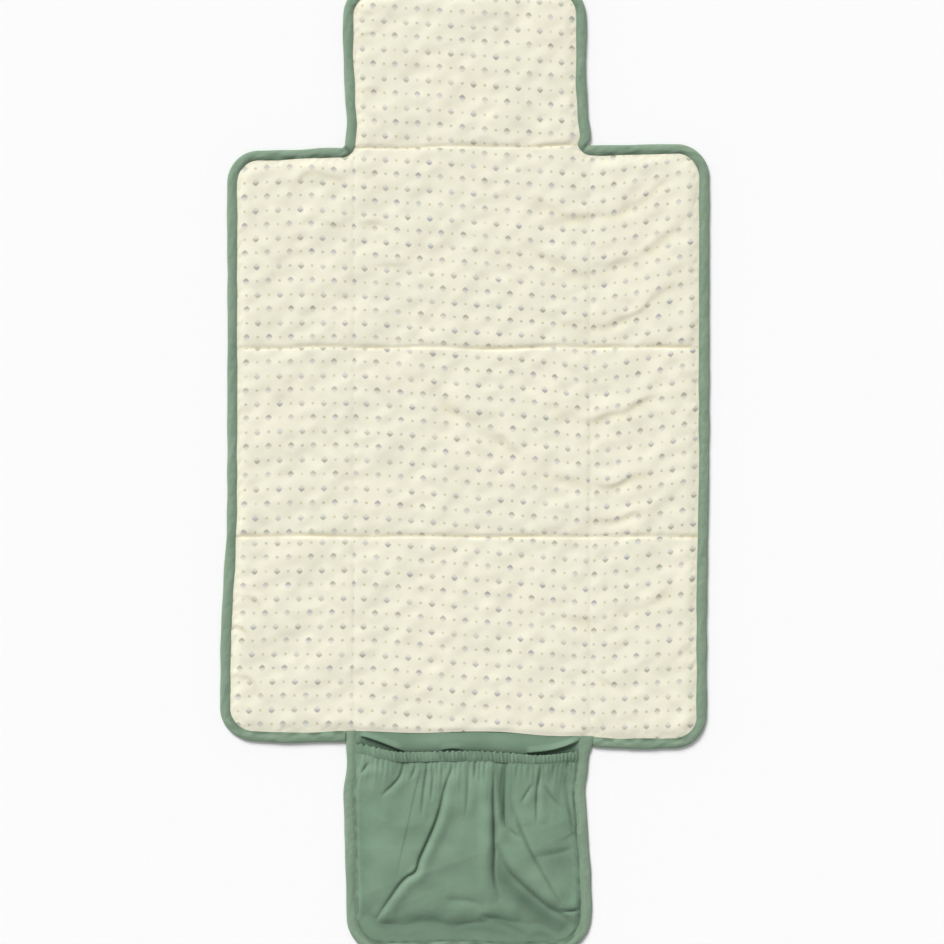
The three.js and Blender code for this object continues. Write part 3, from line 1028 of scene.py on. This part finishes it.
def build_centre_column():
    """The three panels down the middle and the head flap."""
    low, high = ROWS["middle"]
    cells = IN_CENTRE & (CELL_Y > low) & (CELL_Y < high)
    middle = padded_panel("panel_middle_centre", cells, ["middle_centre"])
    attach(middle, "middle_centre")
    start, end = UPPER_FOLD - ROW_BEND, UPPER_FOLD + ROW_BEND
    cells = IN_CENTRE & (CELL_Y > start) & (CELL_Y < HEAD_FOLD)
    upper = padded_panel("panel_upper_centre", cells, ["upper_centre"])
    blend_along_y(upper, "middle_centre", "upper_centre", start, end)
    start, end = LOWER_FOLD + ROW_BEND, LOWER_FOLD - ROW_BEND
    cells = IN_CENTRE & (CELL_Y > POCKET_FOLD) & (CELL_Y < start)
    lower = padded_panel("panel_lower_centre", cells, ["lower_centre"])
    blend_along_y(lower, "middle_centre", "lower_centre", start, end)
    head = padded_panel("panel_head", IN_CENTRE & (CELL_Y > HEAD_FOLD), ["head"])
    blend_along_y(head, "upper_centre", "head_flap", HEAD_FOLD, HEAD_BEND_END)


def build_wing(side):
    """The three panels of one outer column, and the strips of them that also bend at a row fold."""
    in_wing = SIDES[side] * CELL_X > WING_BEND_START
    for row, (low, high) in ROWS.items():
        cells = in_wing & (CELL_Y > low) & (CELL_Y < high)
        blend_to_wing(padded_panel(f"panel_{row}_{side}", cells, [f"{row}_{side}"]), row, side)
    for (row, fold), (low, high) in FOLD_STRIPS.items():
        cells = in_wing & (CELL_Y > low) & (CELL_Y < high)
        follow_four(padded_panel(f"fold_{fold}_{row}_{side}", cells, []), row, side, fold)


COVER = build_cover()
CELL_X, CELL_Y = cell_middles(X_LINES, Y_LINES)
ON_COVER = on_cover(CELL_X, CELL_Y)
IN_CENTRE = np.abs(CELL_X) < WING_BEND_START
build_centre_column()
RIGS = {row + "_" + side: wing_rig(row + "_" + side) for row in ROWS for side in SIDES}
for wing_side in SIDES:
    build_wing(wing_side)


# ---------------------------------------------------------------- the binding, length by length

MID_EDGE = PAD_EDGE - TAPE_HALF
MID_COLUMN = COLUMN_EDGE - TAPE_HALF
MID_TOP = HEAD_FOLD - TAPE_HALF
MID_BOTTOM = PAD_BOTTOM + TAPE_HALF
OUTER_TURN = CORNER_RADIUS - TAPE_HALF
INNER_TURN = 9.0
PAD_PATH = (
    (-COLUMN_EDGE, MID_BOTTOM, 0),
    (-MID_EDGE, MID_BOTTOM, OUTER_TURN),
    (-MID_EDGE, MID_TOP, OUTER_TURN),
    (-MID_COLUMN, MID_TOP, INNER_TURN),
    (-MID_COLUMN, HEAD_TOP - TAPE_HALF, OUTER_TURN),
    (MID_COLUMN, HEAD_TOP - TAPE_HALF, OUTER_TURN),
    (MID_COLUMN, MID_TOP, INNER_TURN),
    (MID_EDGE, MID_TOP, OUTER_TURN),
    (MID_EDGE, MID_BOTTOM, OUTER_TURN),
    (COLUMN_EDGE + 4, MID_BOTTOM, 0),
)
PATH_SPACING = 1.5
FLAP_BEND = (POCKET_FOLD, POCKET_FOLD - 6.0)
FLAP_TOP_END = POCKET_FOLD + 0.4
FLAP_PATH = (
    (MID_COLUMN, FLAP_TOP_END, 0),
    (MID_COLUMN, FLAP_BOTTOM + TAPE_HALF, OUTER_TURN),
    (-MID_COLUMN, FLAP_BOTTOM + TAPE_HALF, OUTER_TURN),
    (-MID_COLUMN, FLAP_TOP_END, 0),
)


def tape_owner(x, y):
    """Which length of binding a point of the pad's edge belongs to."""
    if y > HEAD_FOLD:
        return "head"
    side = "left" if x < 0 else "right"
    for (row, fold), (low, high) in FOLD_STRIPS.items():
        if low <= y < high:
            return f"fold_{fold}_{row}_{side}"
    for row, (low, high) in ROWS.items():
        if low <= y < high:
            return f"{row}_{side}"
    return f"lower_{side}"


def tape_lengths(path):
    """The lengths of the pad's binding: each one's owner, and the points of the path that it spans."""
    owners = [tape_owner(*((start + end) / 2)) for start, end in zip(path, path[1:])]
    first = 0
    for number in range(1, len(owners) + 1):
        if number == len(owners) or owners[number] != owners[first]:
            yield owners[first], slice(first, number + 1)
            first = number


def hang_tape(tape, owner):
    """Lets a length at a row fold follow the panels that it is sewn to; hides the CAD binding that the others
    replace.
    """
    if owner == "head":
        blend_along_y(tape, "upper_centre", "head_flap", HEAD_FOLD, HEAD_BEND_END)
        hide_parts("binding_head")
    elif owner.startswith("fold"):
        _, fold, row, side = owner.split("_")
        follow_four(tape, row, side, fold)
    else:
        row, side = owner.split("_")
        blend_to_wing(tape, row, side)
        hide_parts("binding_" + owner)
        if row == "upper":
            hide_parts("binding_corner_" + side)


def build_pad_binding():
    path, travelled = rounded_path(PAD_PATH, PATH_SPACING)
    level = np.ones(len(path))
    sections = tape_sections(path, travelled, level, 0 * level, 61)
    shade = tape_shade(sections, travelled)
    for sign in SIDES.values():
        inner_corner = np.array([sign * (MID_COLUMN + 2.6), MID_TOP + 2.6])
        nearest = int(np.argmin(np.linalg.norm(path - inner_corner, axis=1)))
        crossed_corner(sections, shade, travelled, travelled[nearest], 1.4)
    normals = tube_normals(sections)
    for owner, span in tape_lengths(path):
        tape = build_tape("tape_" + owner, sections[span], normals[span], travelled[span], shade[span])
        hang_tape(tape, owner)


def build_flap_binding():
    """The pocket flap's binding: thinner than the pad's, and flared where it meets the pad."""
    path, travelled = rounded_path(FLAP_PATH, PATH_SPACING)
    length = travelled[-1]
    height = eased(np.minimum(travelled, length - travelled), ((0, 0.86), (12, 0.82), (40, 0.78)))
    flare = eased(travelled, ((0, 1.3), (20, 0.0), (length - 14, 0.0), (length, 0.3)))
    sections = tape_sections(path, travelled, height, flare, 71)
    shade = tape_shade(sections, travelled)
    tape = build_tape("tape_pocket_flap", sections, tube_normals(sections), travelled, shade)
    blend_along_y(tape, "lower_centre", "pocket_flap", *FLAP_BEND)
    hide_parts("binding_pocket_flap")


build_pad_binding()
build_flap_binding()


# ---------------------------------------------------------------- pocket flap

MOUTH_LINE = ((-110, -272.0), (-60, -277.6), (0, -279.6), (62, -279.4), (110, -275.6))
CASING_HEIGHT = 9.6
CLOTH_THICKNESS = 0.5
POCKET_FLOOR = 1.95
# The lining is in sight above this line, and the flap's cloths end a little above the fold.
SEEN_LINING = -290.0
FLAP_TOP = POCKET_FOLD + 1.0
WEDGES = (
    (((-102, -265), (-90, -268), (-78, -271.5), (-62, -277)), 3.0),
    (((60, -278), (82, -274.5), (98, -269.5), (108, -265)), 3.0),
    (((-24, -278), (-13, -277), (-2, -279)), 1.0),
)
LONG_FOLD = (
    (-11, -289), (-20, -311), (-25, -336), (-33, -357), (-46, -383), (-48, -395), (-60, -401), (-74, -420),
    (-92, -445),
)
# Folds of the gathered panel: the line of each, its depth and its half width. The cloth stands up on the left
# of the line.
POCKET_FOLDS = (
    (LONG_FOLD, 2.6, 2.0),
    (((32, -424), (26.3, -402), (27.4, -367), (27, -306), (30, -290)), 3.2, 2.3),
    (((54, -362), (37, -350), (39, -324), (39, -288)), 2.4, 2.0),
    (((42, -320), (52, -350), (64, -380), (73, -397), (84, -416), (90, -428)), 1.7, 1.6),
    (((29, -366), (39, -394), (59, -413), (77, -429), (93, -438), (102, -451)), 3.0, 4.4),
    (((35, -284), (35, -326), (39, -352)), 2.2, 6.5),
    (((-14, -455), (16, -449), (48, -457)), 1.8, 4.5),
    (((56, -460), (70, -453), (86, -462)), 1.8, 4.0),
    (((88, -433), (100, -434), (113, -431)), 1.6, 2.0),
    (((97, -298), (100, -312), (103, -341), (106, -370)), 1.8, 1.8),
    (((64, -380), (91, -378), (108, -370)), 1.1, 6.0),
    (((73, -290), (71, -315), (69, -348)), 1.5, 1.7),
    (((66, -308), (55, -327)), 0.9, 1.8),
    (((77, -309), (94, -333)), 1.0, 1.7),
    (((-62, -286), (-64, -303), (-82, -321)), 1.3, 1.9),
    (((-38, -288), (-40, -311), (-43, -342)), 1.4, 1.7),
    (((-50, -291), (-54, -305)), 0.9, 1.6),
    (((-31, -292), (-33.5, -327)), 1.1, 1.6),
    (((2, -289), (2, -318), (0, -340)), 1.1, 1.6),
    (((10, -288), (9, -304)), 0.9, 1.4),
    (((-96, -288), (-104, -300)), 1.2, 1.9),
    (((-20, -421), (10, -424), (20, -434)), 0.8, 5.0),
    (((-104, -330), (-70, -352), (-40, -348)), -0.9, 12.0),
    (((-80, -452), (-60, -458), (-40, -452)), 0.8, 4.0),
    (((-98, -438), (-84, -449), (-66, -447)), 1.3, 2.6),
    (((14, -438), (36, -445), (62, -456)), 2.0, 3.4),
)
# Lines where the pocket's cloth steps down: each line, how far, and how gently. It is high on their left.
POCKET_STEPS = (
    (((30, -370), (40, -397), (58, -417), (78, -433), (102, -450)), 6.5, 6.5),
    (((-104, -424), (-76, -445), (-42, -434), (-8, -448), (24, -437), (60, -451)), 2.4, 4.5),
    (((58, -378), (84, -383), (109, -373)), 3.0, 6.0),
    (((36, -372), (36, -348), (37, -320), (35, -290)), 3.6, 5.0),
    (((31, -412), (28, -367), (28, -306), (31, -286)), 2.6, 1.6),
    (((-30, -352), (-46, -384), (-60, -402), (-92, -446)), 1.6, 3.0),
)
# How far the mouth of the pocket stands off the lining, from its left end to its right.
MOUTH_LIFT = (
    (-110, 0.2), (-84, 3.0), (-50, 0.8), (-12, 1.8), (30, 0.9), (62, 1.2), (90, 3.2), (110, 0.2),
)
POCKET_X = lines((-POCKET_EDGE, POCKET_EDGE), 1.05)
POCKET_Y = lines((0.0, 1.0), 1 / 140)
POCKET_LENGTH = 190.0


def mouth_line(x):
    return eased(x, MOUTH_LINE)


def panel_y(x, share):
    """Place along the gathered panel, from the casing at 0 to the bottom edge at 1."""
    top = mouth_line(x) - CASING_HEIGHT + 1.0
    bottom = FLAP_BOTTOM + 7.0
    return top + (bottom - top) * share


def pleats(x, along, length, seed):
    """Small rounded folds side by side, with sharp valleys between, that wander a little along their way."""
    rng = np.random.default_rng(seed)
    total = np.zeros(np.shape(x))
    for _ in range(4):
        scale = math.pi / (length * rng.uniform(0.75, 1.4))
        wander = rng.uniform(-1.5, 1.5) * np.sin(along / rng.uniform(14, 30) + rng.uniform(0, 6))
        total = total + np.abs(np.sin(scale * x + wander + rng.uniform(0, 6))) - 0.64
    return total / 1.2


def gathers(x, below):
    """What the elastic draws into the cloth: fine pleats near the casing, and some that run further down."""
    fine = pleats(x, below, 4.4, 81) * np.exp(-below / 9)
    longer = pleats(x, below, 8.5, 82) * np.exp(-below / 24) * (0.6 + 0.4 * waves(x, below * 0, 60, 85))
    return (1.0 * fine + 1.7 * longer) * eased(below, ((0, 0.35), (4, 1.0)))


def mouth_height(x):
    """Height of the cloth at the casing, which stands off the lining most at the pocket's two openings."""
    across = eased(POCKET_EDGE + 4 - np.abs(x), ((3, 0.0), (12, 0.8), (34, 1.0)))
    return 1.9 + across * (2.7 + eased(x, MOUTH_LIFT))


def pocket_creases(x, y):
    """Relief of the pocket's folds, and how deep in a fold each point lies, from 0 to 1."""
    relief = np.zeros(np.shape(x))
    deep = np.zeros(np.shape(x))
    for line, depth, half_width in POCKET_FOLDS:
        distance, fade = from_line(x, y, line)
        valley = np.exp(-np.abs(distance / (0.8 * half_width)) ** 1.4)
        lip = bell(distance - 3.2 * half_width, 2.6 * half_width)
        relief = relief + depth * fade * (0.7 * lip - 1.7 * valley)
        deep = np.maximum(deep, 0.33 * depth * fade * valley)
    for line, height, half_width in POCKET_STEPS:
        distance, fade = from_line(x, y, line)
        rise = 0.5 + 0.5 * np.tanh(distance / half_width)
        relief = relief + height * fade * (rise * np.exp(-np.maximum(distance, 0) / 22) - 0.3)
        deep = np.maximum(deep, 0.14 * height * fade * bell(distance + half_width, 1.3 * half_width))
    return relief, np.clip(deep, 0, 1)


def pocket_shade(x, y):
    """Painted shade: in the folds' depths, at the foot of the sewn sides' puckers, and along the bottom."""
    _, deep = pocket_creases(x, y)
    edge = inset(x, y)
    beside_tape = bell(edge - 11.3, 1.1) * (0.6 + 0.5 * waves(x, y, 16, 87))
    # A band of painted shade along the bottom edge.
    painted_bottom_shade = 0.12 * eased(y, ((FLAP_BOTTOM + 12, 1.0), (FLAP_BOTTOM + 46, 0.0)))
    return np.clip(0.5 * deep + 0.55 * np.clip(beside_tape, 0, 1) + painted_bottom_shade, 0, 1)


def pocket_height(x, share):
    y = panel_y(x, share)
    below = np.maximum(mouth_line(x) - CASING_HEIGHT - y, 0)
    edge = inset(x, y)
    belly = eased(edge, ((8.8, 0.0), (16, 0.5), (46, 1.0)))
    body = POCKET_FLOOR + 8.2 * belly * eased(share, ((0, 0.7), (0.45, 1.0), (0.7, 0.94), (0.985, 0.05)))
    near_mouth = np.exp(-below / 16)
    height = body * (1 - near_mouth) + mouth_height(x) * near_mouth
    creases, _ = pocket_creases(x, y)
    soft = 0.8 * waves(x, y, 78, 83) + 0.25 * waves(x, y, 26, 84)
    free = eased(edge, ((9, 0.05), (17, 1.0)))
    sewn_edge = np.exp(-np.maximum(edge - 9, 0) / 7) * eased(edge, ((8.5, 0.0), (11, 1.0)))
    puckers = 0.5 * pleats(x + y, x, 9.5, 86) * sewn_edge
    return np.maximum(height + free * (creases + soft + gathers(x, below)) + puckers, POCKET_FLOOR)


def pocket_held(x, share):
    sewn = (share < 0.02) | (share > 0.98) | (np.abs(x) > POCKET_EDGE - 2)
    return np.where(sewn, 1.0, 0.4)


def closed_sheet(name, upper, thickness, place, keep, shade):
    """A thin closed cloth below the surface given, with its place on the cut cloth."""
    return cut_panel(name, keep, upper, upper - np.array([0, 0, thickness]), place, shade)


def build_pocket_panel():
    coarse_x = lines((-POCKET_EDGE, POCKET_EDGE), 2.2)
    coarse_y = lines((0.0, POCKET_LENGTH), 2.4)
    lift = settled_lift(
        coarse_x, coarse_y,
        lambda x, y: pocket_height(x, 1 - y / POCKET_LENGTH),
        lambda x, y: pocket_held(x, 1 - y / POCKET_LENGTH),
        lambda x, y: np.ones(np.shape(x), bool),
        growth=0.02, stiffness=4.0, frames=20, cap=2.6,
    )
    share = 1 - POCKET_Y
    x, down = np.meshgrid(POCKET_X, share)
    y = panel_y(x, down)
    height = pocket_height(x, down) + resampled(lift, coarse_x, coarse_y, x, POCKET_LENGTH * (1 - down))
    surface = laid_surface(x, y, np.maximum(height, POCKET_FLOOR))
    gathered = 1 + 0.3 * np.exp(-(1 - POCKET_Y[::-1])[:, None] * 3)
    cut_place = np.stack([x * gathered, y], 2)
    edge = inset(x, y)
    keep = (edge[1:, 1:] + edge[:-1, :-1]) / 2 > HIDDEN_EDGE
    return closed_sheet("pocket_panel_cloth", surface, CLOTH_THICKNESS, cut_place, keep, pocket_shade(x, y))


def casing_sections():
    """The ruffled hem round the elastic: a flat tube whose cloth is bunched up along it."""
    x = np.arange(-POCKET_EDGE, POCKET_EDGE + 0.1, 0.8)
    angles = 2 * math.pi * np.arange(20) / 20
    along = x[:, None]
    up = np.cos(angles)[None, :]
    out = np.sin(angles)[None, :]
    ruffle = pleats(along + 0.8 * up, up * 9, 3.9, 91) + 0.5 * waves(along, up * 4, 13, 93)
    scallop = pleats(along, along * 0, 5.0, 92)
    ends = eased(np.abs(along), ((POCKET_EDGE - 12, 1.0), (POCKET_EDGE, 0.35)))
    centre_y = mouth_line(along) - CASING_HEIGHT / 2
    flat_y = centre_y + np.sign(up) * np.abs(up) ** 0.8 * (CASING_HEIGHT / 2 + 0.9 * scallop * (up > 0.3))
    stitch = bell(up + 0.72, 0.16) + bell(up - 0.66, 0.12) * 0.5
    thickness = 0.95 * ends * (1 - 0.45 * stitch * (out > 0))
    height = mouth_height(along) - 0.5 + out * thickness
    height = height + 0.8 * np.maximum(ruffle, -0.2) * ends * (0.5 + 0.5 * out)
    uneven = np.clip(0.7 + 0.6 * waves(along, up * 4, 34, 94), 0, 1)
    # Shade painted on the whole casing, deepest in the valleys of its ruffles.
    shade = 0.14 + 0.35 * np.clip(0.3 - ruffle, 0, 1) * uneven
    return laid_surface(along + 0.25 * scallop * up, flat_y, height), x, shade


def elastic_sections():
    """The elastic band, stretched flat inside its casing."""
    x = np.linspace(-POCKET_EDGE + 16, POCKET_EDGE - 16, 130)
    half_width = 3.2
    outline = np.array([(-half_width, -0.6), (half_width, -0.6), (half_width, -0.35), (-half_width, -0.35)])
    along = x[:, None] + 0 * outline[None, :, 0]
    flat_y = mouth_line(along) - CASING_HEIGHT / 2 + outline[None, :, 0]
    height = mouth_height(along) - 0.5 + outline[None, :, 1]
    return laid_surface(along, flat_y, height), x, 0 * along


def build_strip(name, sections, x, shade, cut_length, cut_width):
    """A closed strip along the pocket's mouth, with its place on the cut cloth."""
    count, around = sections.shape[:2]
    strip = make_mesh(name, sections.reshape(-1, 3), sweep_faces(count, around))
    strip.data.polygons.foreach_set("use_smooth", np.ones(len(strip.data.polygons), bool))
    along, across = np.meshgrid(x * cut_length, np.linspace(0, cut_width, around), indexing="ij")
    set_cut_place(strip.data, np.stack([along.ravel(), across.ravel()], 1))
    set_painted_shade(strip.data, shade.ravel())
    return strip


def flap_sheet(name, height, shade):
    """A cloth of the flap, whose corners are rounded inside the binding."""
    x_lines = lines((-COLUMN_EDGE + HIDDEN_EDGE, COLUMN_EDGE - HIDDEN_EDGE), 1.4)
    below_mouth = lines((FLAP_BOTTOM + HIDDEN_EDGE, SEEN_LINING), 2.6)
    y_lines = np.concatenate([below_mouth[:-1], lines((SEEN_LINING, FLAP_TOP), 0.8)])
    x, y = np.meshgrid(x_lines, y_lines)
    surface = laid_surface(x, y, height(x, y))
    keep = inset(*cell_middles(x_lines, y_lines)) > HIDDEN_EDGE
    return closed_sheet(name, surface, 0.4, np.stack([x, y], 2), keep, shade(x, y))


def wedge_place(x, y, line):
    """How far a point lies above the rim of one of the pocket's openings, and 1 along the rim's length."""
    points = softened(line)
    first, last = line[0][0], line[-1][0]
    within = eased(x, ((first - 3, 0.0), (first + 4, 1.0), (last - 8, 1.0), (last + 3, 0.0)))
    return y - np.interp(x, points[:, 0], points[:, 1]), within


def opening_shade(x, y):
    """Painted shade: the lining darkens towards the pocket's mouth and inside its openings, below their rims.
    """
    total = 0.7 * np.exp(-np.maximum(y - mouth_line(x), 0) / 2.6)
    for line, depth in WEDGES:
        above, within = wedge_place(x, y, line)
        inside = eased(above, ((-0.6, 1.0), (0.8, 0.0)))
        total = np.maximum(total, 0.5 * within * inside * min(1.0, depth / 3))
    return 0.04 + 0.96 * total


def lining_height(x, y):
    """The lining lies high beside the printed edge and drops away into the pocket's two openings."""
    height = 1.4 + 1.5 * eased(y, ((-290, 0.0), (-270, 1.0), (-262, 0.7)))
    for line, depth in WEDGES:
        above, within = wedge_place(x, y, line)
        height = height - depth * within * eased(above, ((-1.0, 1.0), (0.4, 0.0)))
        height = height + 0.9 * depth * within * eased(above, ((-1.0, 0.0), (0.4, 1.0), (7, 0.1)))
    edge = eased(inset(x, y), ((4, 0.0), (14, 1.0)))
    ripple = 0.12 * waves(x, y, 26, 95)
    return np.maximum(1.3 + (height - 1.3 + ripple) * edge, 1.3)


def build_pocket_flap():
    """The gathered pocket with its casing and elastic, on the flap's lining and backing."""
    pocket_panel = build_pocket_panel()
    dress(pocket_panel, GREEN, GREEN)
    casing = build_strip("elastic_casing_cloth", *casing_sections(), 1.3, 24)
    dress(casing, GREEN)
    elastic = build_strip("elastic_band_inside", *elastic_sections(), 1.0, 12.8)
    dress(elastic, ELASTIC)
    lining = flap_sheet("flap_lining_cloth", lining_height, opening_shade)
    dress(lining, GREEN, GREEN)
    backing = flap_sheet(
        "flap_backing_cloth",
        lambda x, y: 0.85 + 0.06 * waves(x, y, 34, 97),
        lambda x, y: np.zeros(np.shape(x)),
    )
    dress(backing, GREEN, BACKING)
    for piece, node in ((lining, "flap_lining"), (backing, "flap_backing")):
        blend_along_y(piece, "lower_centre", "pocket_flap", *FLAP_BEND)
        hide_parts(node)
    gathered = ((pocket_panel, "pocket_panel"), (casing, "elastic_casing"), (elastic, "elastic_band"))
    for piece, node in gathered:
        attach(piece, "pocket_flap")
        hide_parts(node)
    flap_cut = (2 * (COLUMN_EDGE - HIDDEN_EDGE) * MM, (FLAP_TOP - FLAP_BOTTOM - HIDDEN_EDGE) * MM)


build_pocket_flap()


# ---------------------------------------------------------------- table, light and camera

def build_stage():
    """A wide white table just below the pad."""
    mesh = bpy.data.meshes.new("table")
    half = 6.0
    level = -0.0004
    corners = [(-half, -half, level), (half, -half, level), (half, half, level), (-half, half, level)]
    mesh.from_pydata(corners, [], [(0, 1, 2, 3)])
    table = bpy.data.objects.new("table", mesh)
    bpy.context.scene.collection.objects.link(table)
    material = bpy.data.materials.new("white_table")
    material.use_nodes = True
    shader = material.node_tree.nodes["Principled BSDF"]
    shader.inputs["Base Color"].default_value = (0.93, 0.93, 0.93, 1)
    shader.inputs["Roughness"].default_value = 0.9
    shader.inputs["Specular IOR Level"].default_value = 0.1
    mesh.materials.append(material)


def soft_light(towards, strength):
    """A large soft key light a long way off, so that the whole pad is lit evenly."""
    data = bpy.data.lights.new("key", "SUN")
    data.angle = math.radians(28)
    data.energy = strength
    light = bpy.data.objects.new("key", data)
    light.rotation_euler = Vector(towards).to_track_quat("Z", "Y").to_euler()
    bpy.context.scene.collection.objects.link(light)


def light_scene():
    """An even pale surround, brightest near the horizon, and the key from the top of the pad."""
    world = bpy.data.worlds.new("studio")
    world.use_nodes = True
    tree = world.node_tree
    direction = tree.nodes.new("ShaderNodeTexCoord")
    parts = tree.nodes.new("ShaderNodeSeparateXYZ")
    height = tree.nodes.new("ShaderNodeMapRange")
    height.interpolation_type = "SMOOTHSTEP"
    for socket, value in zip(("From Min", "From Max", "To Min", "To Max"), (0.12, 0.4, 1.0, 0.37)):
        height.inputs[socket].default_value = value
    tree.links.new(direction.outputs["Generated"], parts.inputs[0])
    tree.links.new(parts.outputs[2], height.inputs["Value"])
    tree.links.new(height.outputs["Result"], tree.nodes["Background"].inputs["Strength"])
    tree.nodes["Background"].inputs["Color"].default_value = (1.0, 1.0, 1.0, 1)
    bpy.context.scene.world = world
    soft_light((-0.56, 1.0, 0.84), 3.36)
    bpy.context.scene.view_settings.view_transform = "Standard"


def place_camera():
    """Straight above the pad, with the outer edges of both flaps just out of view."""
    data = bpy.data.cameras.new("camera")
    data.lens = 85
    data.sensor_width = 36
    camera = bpy.data.objects.new("camera", data)
    view_width = 0.925
    camera.location = (0.0059, -0.0039, view_width * data.lens / data.sensor_width)
    bpy.context.scene.collection.objects.link(camera)
    bpy.context.scene.camera = camera


build_stage()
light_scene()
place_camera()
